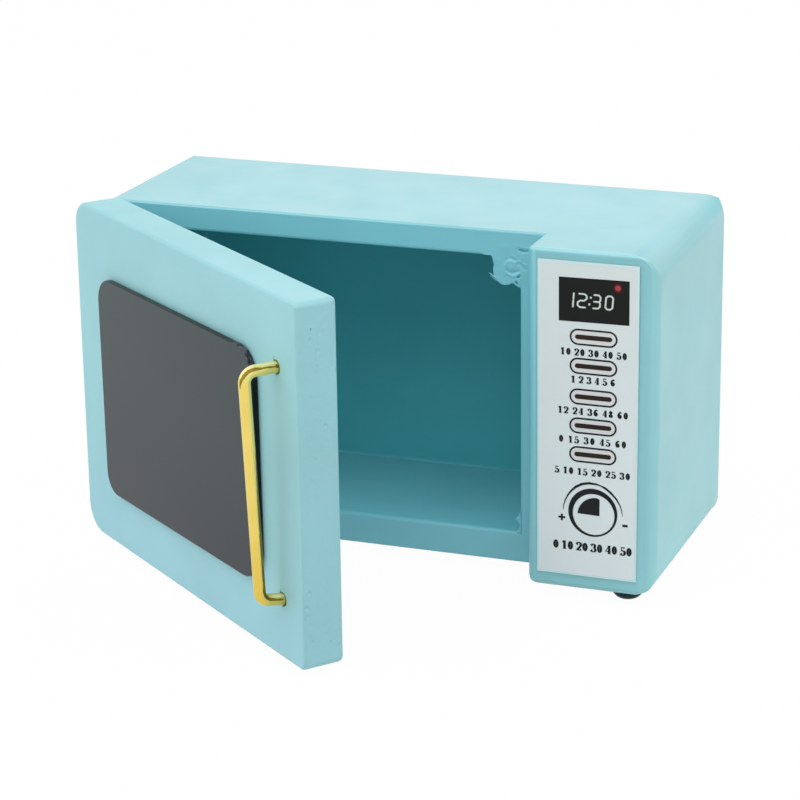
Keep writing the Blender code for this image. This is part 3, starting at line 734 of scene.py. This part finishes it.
def make_catch_lump(finishes):
    """Putty pressed round the magnet and painted over, which hides the magnet behind its skin."""
    builder = bmesh.new()
    add_prism(builder, LUMP_EDGE, -SMEAR_PROUD, LUMP_DEPTH)
    add_prism(builder, SMEAR_EDGE, -SMEAR_PROUD, SMEAR_DEPTH)
    rough = draw("rough_lump", builder)
    remesh = rough.modifiers.new("even", "REMESH")
    remesh.mode = "VOXEL"
    remesh.voxel_size = LUMP_VOXEL
    settle(rough)
    builder = bmesh.new()
    builder.from_mesh(rough.data)
    bpy.data.objects.remove(rough, do_unlink=True)
    creases = [([Vector(point) for point in line], height, width) for line, height, width in LUMP_CREASES]
    border = [Vector(point) for point in SMEAR_EDGE[:-2]]
    bmesh.ops.smooth_vert(builder, verts=builder.verts, factor=0.5, use_axis_x=True, use_axis_z=True)
    for vertex in builder.verts:
        x, y, z = vertex.co
        if y < FRONT_SKIN:
            vertex.co.y = lump_front(x, z, creases, border)
    for points, radii in STRANDS:
        add_rod(builder, [Vector(point) for point in points], radii)
    lump = add_piece("catch_lump", builder, finishes["putty_paint"], "cabinet", CABINET)
    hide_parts("catch_putty", "catch_magnet")


def make_paint_nib(finishes):
    builder = bmesh.new()
    add_prism(builder, NIB_EDGE, NIB_FRONT, NIB_DEPTH)
    nib = draw("paint_nib", builder, finishes["frame_paint"])
    set_in(rounded(nib, NIB_ROUND, NIB_SEGMENTS), "cabinet", CABINET)


# Door

# Its corners as seen from the front, from the low left one round, and the rounding of all its edges.
DOOR_CORNERS = (2.3, 0.6, 0.45, 1.9)
DOOR_ROUND, DOOR_SEGMENTS = 0.31, 5
END_FACING = 0.9
TOOL_SIDES = 32
HANDLE_HOLE_GAP = 0.05
HANDLE_HOLE_DEPTH = 2.1
POCKET_GAP = 0.2
CUT_OVERRUN = 0.5
# Pinholes in the end grain: place across and up, and radius.
PINHOLES = [
    (1.19, 25.37, 0.09), (1.65, 22.70, 0.05), (1.36, 15.92, 0.05), (1.49, 8.72, 0.05),
    (0.78, 2.27, 0.07), (2.24, 1.93, 0.07),
]
# The paint is chipped round the handle's holes: a crescent at the right and a crack above and below, each
# with its place across, its root and its tip.
HOLE_CHIP_SHIFT, HOLE_CHIP_GAP, HOLE_CHIP_DEPTH = 0.09, 0.1, 0.4
HOLE_CRACKS = [(-0.2, 0.3, 0.78), (0.08, -0.3, -0.72)]
HOLE_CRACK_HALF_WIDTH = 0.11
# The radius of the wire's bends, how far it stands off the door at its lower end, how much higher its low leg
# leaves the bend there than it enters the door, and the angle at which that bend ends.
BEND, BEND_STEPS = 0.8, 18
LOW_REACH, LOW_LEG_RISE, LOW_BEND_END = 1.78, 0.17, 264
WIRE_SIDES, WIRE_STEP = 72, 0.2
# The wire's finishes: brass, a painted dark reflection, a painted highlight and a paler painted reflection.
WIRE_FINISHES = ("brass_wire", "wire_painted_dark_reflection", "wire_painted_highlight", "wire_painted_pale_reflection")
DARK_REFLECTION, WIRE_HIGHLIGHT, PALE_REFLECTION = 1, 2, 3
# Streaks on the wire, of painted reflections and painted highlights: the finish, whether it is measured from
# the low hole, and for some lengths from the hole the angle round the wire, from the door's free end towards
# its outside, and half the streak's width.
WIRE_STREAKS = [
    (PALE_REFLECTION, False, [(0.0, 20, 181), (1.2, 20, 181), (2.2, 10, 50), (2.8, 0, 20)]),
    (PALE_REFLECTION, True, [(0.0, 20, 181), (0.9, 20, 181), (1.6, -30, 50), (2.2, -40, 30)]),
    (PALE_REFLECTION, False, [(2.9, 122, 16), (19.2, 122, 16)]),
    (PALE_REFLECTION, False, [(2.2, -24, 22), (19.2, -24, 22)]),
    (DARK_REFLECTION, False, [(8.0, -45, 7), (12.0, -45, 30), (18.6, -45, 38)]),
    (WIRE_HIGHLIGHT, False, [(0.2, 64, 12), (1.2, 68, 18), (2.0, 86, 14), (2.6, 100, 8)]),
    (WIRE_HIGHLIGHT, True, [(0.0, -52, 13), (0.8, -54, 17), (1.1, -54, 8)]),
    (
        DARK_REFLECTION, False,
        [(0.0, 24, 22), (0.3, 24, 7), (1.2, 27, 9), (1.8, 32, 17), (2.5, 56, 20), (3.1, 74, 8)],
    ),
    (DARK_REFLECTION, True, [(0.1, -14, 7), (0.8, -16, 12), (1.4, -26, 18), (2.2, -40, 30), (2.9, -45, 37)]),
]
WINDOW_WIDTH, WINDOW_HEIGHT = 25.12, 17.6
WINDOW_TILT = math.radians(0.77)
WINDOW_CORNERS = (1.7, 2.5, 2.2, 2.0)
WINDOW_ROUND, WINDOW_SEGMENTS = 0.08, 3


def round_tool(x, z, radius, front, back):
    return prism_tool(closed_oval((x, z), radius, radius, TOOL_SIDES), front, back)


def pinhole_tool(y, z, radius):
    builder = bmesh.new()
    bmesh.ops.create_icosphere(builder, subdivisions=2, radius=radius)
    bmesh.ops.translate(builder, verts=builder.verts, vec=(DOOR_WIDTH, y, z))
    return draw("tool", builder)


def make_door_board(finishes):
    """One board, with its hinge pockets, handle holes and the recess for the catch's disc."""
    builder = bmesh.new()
    outline = rounded_rectangle(0, 0, DOOR_WIDTH, DOOR_HEIGHT, DOOR_CORNERS)
    add_prism(builder, outline, 0, DOOR_THICKNESS)
    bmesh.ops.recalc_face_normals(builder, faces=builder.faces)
    for face in builder.faces:
        if face.normal.x > END_FACING:
            face.material_index = 1
    board = draw("door_board", builder, finishes["door_paint"], finishes["end_grain_paint"])
    rounded(board, DOOR_ROUND, DOOR_SEGMENTS)
    back = DOOR_THICKNESS + CUT_OVERRUN
    tools = [pinhole_tool(*pinhole) for pinhole in PINHOLES]
    for position in ("upper", "lower"):
        low, high = box_in(position + "_hinge_door_leaf", DOOR)
        pocket = bar(-CUT_OVERRUN, low.z - POCKET_GAP, high.x + POCKET_GAP, high.z + POCKET_GAP)
        tools.append(prism_tool(pocket, low.y - HANDLE_HOLE_GAP, back))
    low, high = box_in("door_handle", DOOR)
    middle, radius = 0.5 * (low.x + high.x), 0.5 * (high.x - low.x)
    for z in (high.z - radius, low.z + radius):
        tools.append(round_tool(middle, z, radius + HANDLE_HOLE_GAP, -CUT_OVERRUN, HANDLE_HOLE_DEPTH))
        chip = radius + HOLE_CHIP_GAP
        tools.append(round_tool(middle + HOLE_CHIP_SHIFT, z, chip, -CUT_OVERRUN, HOLE_CHIP_DEPTH))
        for across, root, tip in HOLE_CRACKS:
            x = middle + across
            left, right = x - HOLE_CRACK_HALF_WIDTH, x + HOLE_CRACK_HALF_WIDTH
            crack = [(left, z + root), (right, z + root), (x, z + tip)]
            tools.append(prism_tool(crack, -CUT_OVERRUN, HOLE_CHIP_DEPTH))
    low, high = box_in("door_catch_disc", DOOR)
    middle, radius = 0.5 * (low + high), 0.5 * (high.x - low.x)
    tools.append(round_tool(middle.x, middle.z, radius + HANDLE_HOLE_GAP, low.y - HANDLE_HOLE_GAP, back))
    keep_flats(cut_away(board, tools))
    set_in(board, "door", DOOR)
    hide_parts("door_panel")


def make_window(finishes):
    """The smoked plate, glued on a little crooked, whose cut edges are darker than its face."""
    low, high = box_in("door_window", DOOR)
    builder = bmesh.new()
    half_width, half_height = 0.5 * WINDOW_WIDTH, 0.5 * WINDOW_HEIGHT
    outline = rounded_rectangle(-half_width, -half_height, half_width, half_height, WINDOW_CORNERS)
    cosine, sine = math.cos(WINDOW_TILT), math.sin(WINDOW_TILT)
    u, v = 0.5 * (low.x + high.x), 0.5 * (low.z + high.z)
    outline = [(u + cosine * x - sine * z, v + sine * x + cosine * z) for x, z in outline]
    add_prism(builder, outline, low.y, high.y)
    for face in builder.faces:
        face.material_index = 1 if len(face.verts) == 4 else 0
    looks = [finishes[name] for name in ("smoked_plate", "smoked_plate_edge")]
    plate = draw("smoked_window_plate", builder, *looks)
    rounded(plate, WINDOW_ROUND, WINDOW_SEGMENTS)
    set_in(plate, "door", DOOR)
    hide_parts("door_window")


def fill_in(points, step):
    """A line of points with more set in, so that none are further apart than a step."""
    filled = [Vector(points[0])]
    for first, second in zip(points, points[1:]):
        run = Vector(second) - Vector(first)
        count = max(1, math.ceil(run.length / step))
        filled += [Vector(first) + run * part / count for part in range(1, count + 1)]
    return filled


def streak_at(streak, travelled):
    """Where a streak's middle and half width are round the wire, or nothing past its ends."""
    for first, second in zip(streak, streak[1:]):
        if first[0] <= travelled <= second[0]:
            share = (travelled - first[0]) / (second[0] - first[0])
            return [a + (b - a) * share for a, b in zip(first[1:], second[1:])]
    return None


def make_handle(finishes):
    """The bent wire, leaning in towards its lower end, with painted reflections and highlights in streaks."""
    low, high = box_in("door_handle", DOOR)
    radius = 0.5 * (high.x - low.x)
    middle = 0.5 * (high.x + low.x)
    top, bottom = high.z - radius, low.z + radius
    reach_top, reach_bottom = -low.y - radius, LOW_REACH
    lean = math.atan2(reach_top - reach_bottom, top - bottom)
    top_bend = arc(
        (-reach_top + BEND * math.tan(0.25 * math.pi + 0.5 * lean), top - BEND),
        BEND, 90, 180 + math.degrees(lean), BEND_STEPS,
    )
    bottom_bend = arc(
        (-reach_bottom + BEND * math.tan(0.25 * math.pi - 0.5 * lean), bottom + LOW_LEG_RISE + BEND),
        BEND, 180 + math.degrees(lean), LOW_BEND_END, BEND_STEPS,
    )
    corners = [(high.y, top), (0.0, top), *top_bend, *bottom_bend, (0.0, bottom), (high.y, bottom)]
    route = fill_in(corners, WIRE_STEP)
    builder = bmesh.new()
    rings, lengths, travelled = [], [], -high.y
    for at, point in enumerate(route):
        run = (route[min(at + 1, len(route) - 1)] - route[max(at - 1, 0)]).normalized()
        outward = Vector((run.y, -run.x))
        if at:
            travelled += (point - route[at - 1]).length
        lengths.append(travelled)
        rings.append([
            builder.verts.new((
                middle + radius * math.cos(turn),
                point.x + radius * math.sin(turn) * outward.x,
                point.y + radius * math.sin(turn) * outward.y,
            ))
            for turn in (2 * math.pi * side / WIRE_SIDES for side in range(WIRE_SIDES))
        ])
    builder.faces.new(rings[0][::-1])
    builder.faces.new(rings[-1])
    whole = lengths[-1] - high.y
    for at, (first, second) in enumerate(zip(rings, rings[1:])):
        along = 0.5 * (lengths[at] + lengths[at + 1])
        for side, face in enumerate(add_walls(builder, first, second)):
            turn = 360 * (side + 0.5) / WIRE_SIDES
            turn = turn - 360 if turn > 180 else turn
            for slot, from_end, streak in WIRE_STREAKS:
                place = streak_at(streak, whole - along if from_end else along)
                if place and abs(turn - place[0]) < place[1]:
                    face.material_index = slot
    looks = [finishes[name] for name in WIRE_FINISHES]
    wire = draw("brass_handle_wire", builder, *looks)
    wire.data.set_sharp_from_angle(angle=SMOOTH_ANGLE)
    set_in(wire, "door", DOOR)
    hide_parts("door_handle")


# Label print

label_low, label_high = box_in("panel_label", CABINET)
LABEL = CABINET @ Matrix.Translation(label_low)
INK_PROUD = 0.01
INK_SINK = 0.01
INK_LAYER = 0.002
# The pen's width where it runs up or down and where it runs across, in shares of a numeral's height, how
# sharply it turns from one to the other, and the two widths of a fine line.
PEN_THICK, PEN_THIN, PEN_TURN = 0.3, 0.11, 1.5
HAIRLINE = (0.09, 0.07)
BUTTON_MIDDLE = 4.34
BUTTON_HEIGHTS = (18.91, 16.67, 14.28, 12.01, 9.75)
# Plain numbers, with the left and right end of each row, its middle height and its size.
NUMBER_ROWS = [
    ("10 20 30 40 50", 1.8, 6.9, 17.72, 0.54),
    ("1 2 3 4 5 6", 2.62, 6.01, 15.6, 0.54),
    ("12 24 36 48 60", 1.62, 7.03, 13.13, 0.54),
    ("0 15 30 45 60", 1.7, 6.91, 10.86, 0.54),
    ("5 10 15 20 25 30", 1.39, 7.24, 8.38, 0.54),
    ("0 10 20 30 40 50", 1.28, 7.45, 2.38, 0.68),
]
PAPER_EDGE, PAPER_EDGE_INSET = 0.17, 0.01
PANE = [(1.655, 20.05), (7.06, 20.11), (7.05, 23.48), (1.645, 23.41)]
# The display's light, as two rounds of ink on each other.
LIGHT_MIDDLE = (6.17, 22.89)
LIGHT_ROUNDS = (("halo", 0.34, "dark_red_ink"), ("light", 0.21, "red_ink"))
BUTTON_HALF_WIDTH, BUTTON_HALF_HEIGHT = 1.84, 0.63
BUTTON_OUTLINE = 0.14
BUTTON_BAR_HALF_WIDTH, BUTTON_BAR_HALF_HEIGHT = 1.43, 0.185
# The dial's ring and the middle of the round inside it, the quarter wedge on it, and the arc round it with
# its width at each point.
DIAL_MIDDLE, DIAL_RADIUS = (4.38, 5.2), 1.92
DIAL_INNER_MIDDLE, DIAL_INNER_RADIUS = (4.445, 5.07), 1.63
DIAL_SIDES = 60
WEDGE = [(4.9, 4.99), (4.91, 6.26), (4.83, 6.36), *oval((4.65, 4.93), 1.47, 1.48, 90, 176, 12), (3.18, 5.04)]
DIAL_ARC = [
    (2.05, 5.2), (2.1, 5.62), (2.23, 6.02), (2.41, 6.4), (2.68, 6.78), (3.03, 7.12), (3.52, 7.41),
    (4.06, 7.53), (4.6, 7.51), (4.93, 7.44), (5.33, 7.27), (5.77, 6.95), (6.18, 6.53), (6.5, 6.02),
    (6.63, 5.6), (6.7, 5.15),
]
DIAL_ARC_WIDTHS = (
    0.04, 0.07, 0.1, 0.12, 0.15, 0.19, 0.2, 0.19, 0.15, 0.1, 0.17, 0.17, 0.14, 0.09, 0.07, 0.03,
)
# The plus at the dial's left is two bars, and the minus at its right is one.
DIAL_MARKS = [(1.68, 4.51, 2.22, 4.67), (1.87, 4.32, 2.03, 4.86), (6.69, 4.35, 7.11, 4.54)]
BALL_SIDES, RING_SIDES = 12, 24
BUTTON_END_STEPS, STROKE_END_STEPS = 8, 6


def stroke(points, half_widths):
    """The outline of a line of points with half its width at each."""
    left, right = [], []
    for at, (point, half) in enumerate(zip(points, half_widths)):
        run = step_at(points, at)
        left.append((point[0] - run.y * half, point[1] + run.x * half))
        right.append((point[0] + run.y * half, point[1] - run.x * half))
    return left + right[::-1]


def step_at(points, at):
    """The way that a line of points runs at one of them."""
    run = Vector(points[min(at + 1, len(points) - 1)]) - Vector(points[max(at - 1, 0)])
    return run.normalized()


def pen_stroke(points, thick=PEN_THICK, thin=PEN_THIN):
    """The outline of a stroke that is thick where it runs up or down and thin where it runs across."""
    rises = [abs(step_at(points, at).y) for at in range(len(points))]
    return stroke(points, [0.5 * (thin + (thick - thin) * rise ** PEN_TURN) for rise in rises])


def ball(u, v, radius):
    return closed_oval((u, v), radius, radius, BALL_SIDES)


def ring(u, v, radius_u, radius_v):
    """The outer and the inner edge of a closed bowl."""
    outer = closed_oval((u, v), radius_u, radius_v, RING_SIDES)
    inner = closed_oval((u, v), radius_u - PEN_THICK, radius_v - PEN_THIN, RING_SIDES)
    return outer, inner


# Bold serif numerals one unit high. A shape is one outline, or a pair of outlines for a bowl.
NUMERALS = {
    "0": [ring(0.31, 0.5, 0.31, 0.5)],
    "1": [
        pen_stroke([(0.32, 0), (0.32, 1)]), bar(0.1, 0, 0.54, 0.07),
        pen_stroke([(0.3, 0.95), (0.08, 0.8)]),
    ],
    "2": [
        ball(0.14, 0.72, 0.11),
        pen_stroke(oval((0.3, 0.7), 0.24, 0.26, 170, -20) + [(0.3, 0.3), (0.06, 0.06)]),
        bar(0.04, 0, 0.56, 0.14), bar(0.47, 0, 0.58, 0.25),
    ],
    "3": [
        ball(0.13, 0.77, 0.1), pen_stroke(oval((0.27, 0.74), 0.21, 0.22, 165, -95)),
        pen_stroke(oval((0.27, 0.28), 0.25, 0.24, 95, -165)), ball(0.12, 0.22, 0.11),
    ],
    "4": [
        pen_stroke([(0.42, 0), (0.42, 1)]), pen_stroke([(0.38, 0.98), (0.04, 0.32)], *HAIRLINE),
        bar(0.0, 0.24, 0.62, 0.33), bar(0.24, 0, 0.6, 0.07),
    ],
    "5": [
        bar(0.1, 0.86, 0.52, 1.0), pen_stroke([(0.13, 0.95), (0.13, 0.5)], *HAIRLINE),
        pen_stroke(oval((0.28, 0.32), 0.24, 0.28, 125, -160)), ball(0.13, 0.2, 0.11),
    ],
    "6": [
        ring(0.31, 0.31, 0.3, 0.31), pen_stroke(oval((0.52, 0.34), 0.41, 0.62, 180, 100)),
        ball(0.48, 0.86, 0.1),
    ],
    "8": [ring(0.31, 0.75, 0.25, 0.25), ring(0.31, 0.27, 0.3, 0.27)],
}
NUMERAL_WIDTH = 0.62
SPACE_WIDTH = 0.2

# Strokes of a rounded clock digit in a unit square.
CLOCK_DIGITS = {
    "1": [[(1, 1), (1, 0.56)], [(1, 0.44), (1, 0)]],
    "2": [[(0.1, 1), (0.72, 1), (1, 0.86), (1, 0.66), (0.72, 0.5), (0.28, 0.5), (0, 0.36), (0, 0.15),
           (0.28, 0), (0.9, 0)]],
    "3": [[(0.05, 1), (0.72, 1), (1, 0.86), (1, 0.6), (0.82, 0.5), (0.1, 0.5)],
          [(0.82, 0.5), (1, 0.4), (1, 0.14), (0.72, 0), (0.05, 0)]],
    "0": [[
        (0.28, 1), (0.72, 1), (1, 0.86), (1, 0.14), (0.72, 0), (0.28, 0), (0, 0.14), (0, 0.86), (0.28, 1),
    ]],
}
# Each digit of the clock with its left end and its width.
CLOCK = [("1", 2.53, 0.24), ("2", 3.12, 0.66), ("3", 4.31, 0.52), ("0", 5.25, 0.54)]
CLOCK_LOW, CLOCK_HIGH = 21.21, 22.23
CLOCK_SLANT = 0.08
CLOCK_STROKE = 0.125
COLON_DOTS = [(4.11, 22.0), (3.99, 21.48)]
COLON_DOT_RADIUS = 0.085


def add_ink(builder, shapes, place=lambda u, v: (u, v)):
    """Lays shapes on the paper, each a hair above the last so that none lie in one plane."""
    for layer, shape in enumerate(shapes):
        proud = -INK_PROUD - layer * INK_LAYER / max(len(shapes), 1)
        if isinstance(shape, tuple):
            outer, inner = ([place(*point) for point in edge] for edge in shape)
            add_band(builder, outer, inner, proud, INK_SINK)
        else:
            add_prism(builder, [place(*point) for point in shape], proud, INK_SINK)


def add_print(name, builder, material, lift=0.0):
    """A piece of print, lifted where it lies on another."""
    place = LABEL @ Matrix.Translation((0, -lift, 0))
    add_piece(name, builder, material, "cabinet", place)


def capsule(left, low, right, high):
    radius = 0.5 * (high - low)
    return rounded_rectangle(left, low, right, high, (radius,) * 4, BUTTON_END_STEPS)


def line_capsule(first, second, width):
    """A straight stroke with round ends."""
    along = math.degrees(math.atan2(second[1] - first[1], second[0] - first[0]))
    ends = [
        arc(point, 0.5 * width, start, start + 180, STROKE_END_STEPS)
        for point, start in ((first, along + 90), (second, along - 90))
    ]
    return ends[0] + ends[1]


def make_paper_edge_highlight(finishes):
    """A painted highlight round the paper's border, a little bluer than its printed middle."""
    width, height = (label_high - label_low).x, (label_high - label_low).z
    outer, inner = (
        bar(inset, inset, width - inset, height - inset) for inset in (PAPER_EDGE_INSET, PAPER_EDGE)
    )
    builder = bmesh.new()
    add_ink(builder, [(outer, inner)])
    add_print("label_edge_highlight", builder, finishes["label_edge_highlight"])


def make_display(finishes):
    pane = bmesh.new()
    add_ink(pane, [PANE])
    add_print("display_pane", pane, finishes["display_pane"])
    digits = bmesh.new()
    height = CLOCK_HIGH - CLOCK_LOW
    strokes = []
    for digit, left, width in CLOCK:
        for line in CLOCK_DIGITS[digit]:
            points = [
                (left + u * width + (v - 0.5) * CLOCK_SLANT, CLOCK_LOW + v * height) for u, v in line
            ]
            strokes += [line_capsule(*pair, CLOCK_STROKE) for pair in zip(points, points[1:])]
    strokes += [ball(*dot, COLON_DOT_RADIUS) for dot in COLON_DOTS]
    add_ink(digits, strokes)
    add_print("display_digits", digits, finishes["digit_ink"], INK_PROUD)
    for layer, (name, radius, ink) in enumerate(LIGHT_ROUNDS):
        dot = bmesh.new()
        add_ink(dot, [closed_oval(LIGHT_MIDDLE, radius, radius, RING_SIDES)])
        add_print("display_" + name, dot, finishes[ink], INK_PROUD + layer * INK_LAYER)


def make_buttons(finishes):
    """Five printed buttons: a fine black outline, a warm white face and a dark bar."""
    outlines, faces, bars = bmesh.new(), bmesh.new(), bmesh.new()
    for height in BUTTON_HEIGHTS:
        outer, inner, mark = (
            capsule(BUTTON_MIDDLE - across, height - up, BUTTON_MIDDLE + across, height + up)
            for across, up in (
                (BUTTON_HALF_WIDTH, BUTTON_HALF_HEIGHT),
                (BUTTON_HALF_WIDTH - BUTTON_OUTLINE, BUTTON_HALF_HEIGHT - BUTTON_OUTLINE),
                (BUTTON_BAR_HALF_WIDTH, BUTTON_BAR_HALF_HEIGHT),
            )
        )
        add_ink(outlines, [(outer, inner)])
        add_ink(faces, [inner])
        add_ink(bars, [mark])
    add_print("button_outlines", outlines, finishes["black_ink"])
    add_print("button_faces", faces, finishes["button_ink"])
    add_print("button_bars", bars, finishes["brown_ink"], INK_LAYER)


def make_numbers(finishes):
    builder = bmesh.new()
    for row, left, right, middle, size in NUMBER_ROWS:
        widths = [SPACE_WIDTH if character == " " else NUMERAL_WIDTH for character in row]
        gap = ((right - left) / size - sum(widths)) / (len(row) - 1)
        at = 0.0
        for character, width in zip(row, widths):
            start = left + at * size

            def on_row(u, v, start=start, size=size, middle=middle):
                return start + u * size, middle + (v - 0.5) * size

            add_ink(builder, NUMERALS.get(character, []), on_row)
            at += width + gap
    add_print("label_numbers", builder, finishes["black_ink"])


def make_dial(finishes):
    """A ring that is heavier at its upper left, a quarter wedge and a fine arc round them."""
    builder = bmesh.new()
    outer = closed_oval(DIAL_MIDDLE, DIAL_RADIUS, DIAL_RADIUS, DIAL_SIDES)
    inner = closed_oval(DIAL_INNER_MIDDLE, DIAL_INNER_RADIUS, DIAL_INNER_RADIUS, DIAL_SIDES)
    add_ink(builder, [(outer, inner), WEDGE])
    add_ink(builder, [stroke(DIAL_ARC, [0.5 * width for width in DIAL_ARC_WIDTHS])])
    add_ink(builder, [bar(*mark) for mark in DIAL_MARKS])
    add_print("dial_print", builder, finishes["black_ink"])


# Light, floor and camera

# What a white wall would render as, lit by the studio, how white the camera sees the floor, and what the
# floor gains in a gloss, with the studio's share of what a gloss shows there.
STUDIO_LEVEL = 0.36
FLOOR_WHITENESS = 0.975
FLOOR_LIFT_IN_GLOSS = 0.13
STUDIO_SHARE_IN_GLOSS = 0.5
# How bright the studio looks in a gloss, at its sides and overhead, and the slopes between which it darkens.
STUDIO_IN_GLOSS = 1.18
OVERHEAD_IN_GLOSS = 0.7
OVERHEAD_START, OVERHEAD_END = math.sin(math.radians(40)), math.sin(math.radians(70))
WHITE = (1, 1, 1, 1)
FLOOR_COLOUR, FLOOR_ROUGHNESS = (0.8, 0.8, 0.8), 0.9
FLOOR_REACH = 0.6
# Each softbox by its azimuth from the front and its elevation, in degrees, and its level on white.
SOFTBOXES = (
    ("front_softbox", 10, 62, 0.41),
    ("left_softbox", -60, 35, 0.45),
    ("right_softbox", 80, 35, 0.33),
    ("back_softbox", 180, 45, 0.21),
)
SOFTBOX_SIZE = 0.5
SOFTBOX_DISTANCE = 0.5
# The camera as fitted to the photograph: its right and up, and its place in the cabinet's frame.
CAMERA_RIGHT = Vector((0.93654, 0.35026, -0.01393))
CAMERA_UP = Vector((-0.09695, 0.29702, 0.94994))
CAMERA_PLACE = Vector((98.731, -196.364, 81.32))
LENS, SENSOR_WIDTH = 127.838, 36.0
NEAREST, FURTHEST = 0.01, 10.0


def shown_by_ray(bench, lit, seen, in_gloss, whiteness=1.0):
    """Joins three looks: as light falls on a surface, as the camera sees it, and as gloss shows it."""
    rays = bench.add("ShaderNodeLightPath").outputs
    sight = bench.sum(rays["Is Camera Ray"], rays["Is Transmission Ray"], "MAXIMUM")
    plain = mixed_shader(bench, bench.sum(sight, whiteness, "MULTIPLY"), lit, seen)
    return mixed_shader(bench, rays["Is Glossy Ray"], plain, in_gloss)


def mixed_shader(bench, share, first, second):
    return bench.add("ShaderNodeMixShader", {0: share, 1: first, 2: second}).outputs[0]


def glow(bench, strength):
    return bench.add("ShaderNodeEmission", {"Color": WHITE, "Strength": strength}).outputs[0]


def make_floor():
    """A pale floor that the camera sees as white and gloss sees a little brighter than it is lit."""
    material, bench = finish("studio_floor", FLOOR_COLOUR, FLOOR_ROUGHNESS)[:2]
    nodes = bench.tree.nodes
    lit = nodes["Principled BSDF"].outputs[0]
    lifted = bench.add("ShaderNodeAddShader", {0: lit, 1: glow(bench, FLOOR_LIFT_IN_GLOSS)}).outputs[0]
    in_gloss = mixed_shader(bench, STUDIO_SHARE_IN_GLOSS, lifted, glow(bench, STUDIO_IN_GLOSS))
    whole = shown_by_ray(bench, lit, glow(bench, 1.0), in_gloss, FLOOR_WHITENESS)
    bench.feed(nodes["Material Output"].inputs["Surface"], whole)
    builder = bmesh.new()
    corners = bar(-FLOOR_REACH, -FLOOR_REACH, FLOOR_REACH, FLOOR_REACH)
    builder.faces.new([builder.verts.new((*corner, 0)) for corner in corners])
    draw("studio_floor", builder, material)


def make_studio():
    world = bpy.data.worlds.new("studio")
    bpy.context.scene.world = world
    world.use_nodes = True
    tree = world.node_tree
    bench = Bench(tree)
    light = tree.nodes["Background"]
    light.inputs["Color"].default_value = WHITE
    light.inputs["Strength"].default_value = STUDIO_LEVEL
    way = bench.add("ShaderNodeSeparateXYZ", {0: bench.add("ShaderNodeTexCoord").outputs["Generated"]})
    shine = bench.spread(
        way.outputs["Z"], OVERHEAD_START, OVERHEAD_END, STUDIO_IN_GLOSS, OVERHEAD_IN_GLOSS,
    )
    seen, in_gloss = (
        bench.add("ShaderNodeBackground", {"Color": WHITE, "Strength": strength}).outputs[0]
        for strength in (1.0, shine)
    )
    whole = shown_by_ray(bench, light.outputs[0], seen, in_gloss)
    bench.feed(tree.nodes["World Output"].inputs["Surface"], whole)


def add_softboxes():
    middle = 0.5 * (cad_low + cad_high)
    for name, azimuth, elevation, level in SOFTBOXES:
        light = bpy.data.lights.new(name, "AREA")
        light.size = SOFTBOX_SIZE
        light.energy = level * (math.pi * SOFTBOX_DISTANCE) ** 2
        turn = Matrix.Rotation(math.radians(azimuth), 3, "Z")
        turn @= Matrix.Rotation(math.radians(-elevation), 3, "X")
        away = turn @ Vector((0, -1, 0))
        softbox = add_object(name, light)
        softbox.location = middle + SOFTBOX_DISTANCE * away
        softbox.rotation_euler = away.to_track_quat("Z", "Y").to_euler()


def make_camera():
    camera = bpy.data.cameras.new("camera")
    camera.lens = LENS
    camera.sensor_width = SENSOR_WIDTH
    camera.clip_start = NEAREST
    camera.clip_end = FURTHEST
    obj = add_object("camera", camera)
    back = CAMERA_RIGHT.cross(CAMERA_UP)
    turn = Matrix((CAMERA_RIGHT, CAMERA_UP, back)).transposed().to_4x4()
    obj.matrix_world = Matrix.Translation(CABINET @ CAMERA_PLACE) @ turn
    bpy.context.scene.camera = obj


# The finish of the CAD nodes that show as they are, by a word in their names.
NODE_FINISHES = {
    "foot": "foot_rubber", "hinge": "hinge_brass", "catch_disc": "disc_steel", "label": "label_paper",
}


def finish_cad_nodes(finishes):
    for name, obj in frame["nodes"].items():
        for word, look in NODE_FINISHES.items():
            if word in name:
                obj.data.materials[0] = finishes[look]


def main():
    finishes = make_finishes()
    make_cabinet_shell(finishes)
    make_door_board(finishes)
    make_window(finishes)
    make_handle(finishes)
    make_catch_lump(finishes)
    make_paint_nib(finishes)
    make_paper_edge_highlight(finishes)
    make_display(finishes)
    make_buttons(finishes)
    make_numbers(finishes)
    make_dial(finishes)
    finish_cad_nodes(finishes)
    make_floor()
    make_studio()
    add_softboxes()
    make_camera()
    view = bpy.context.scene.view_settings
    view.view_transform = "Standard"


main()
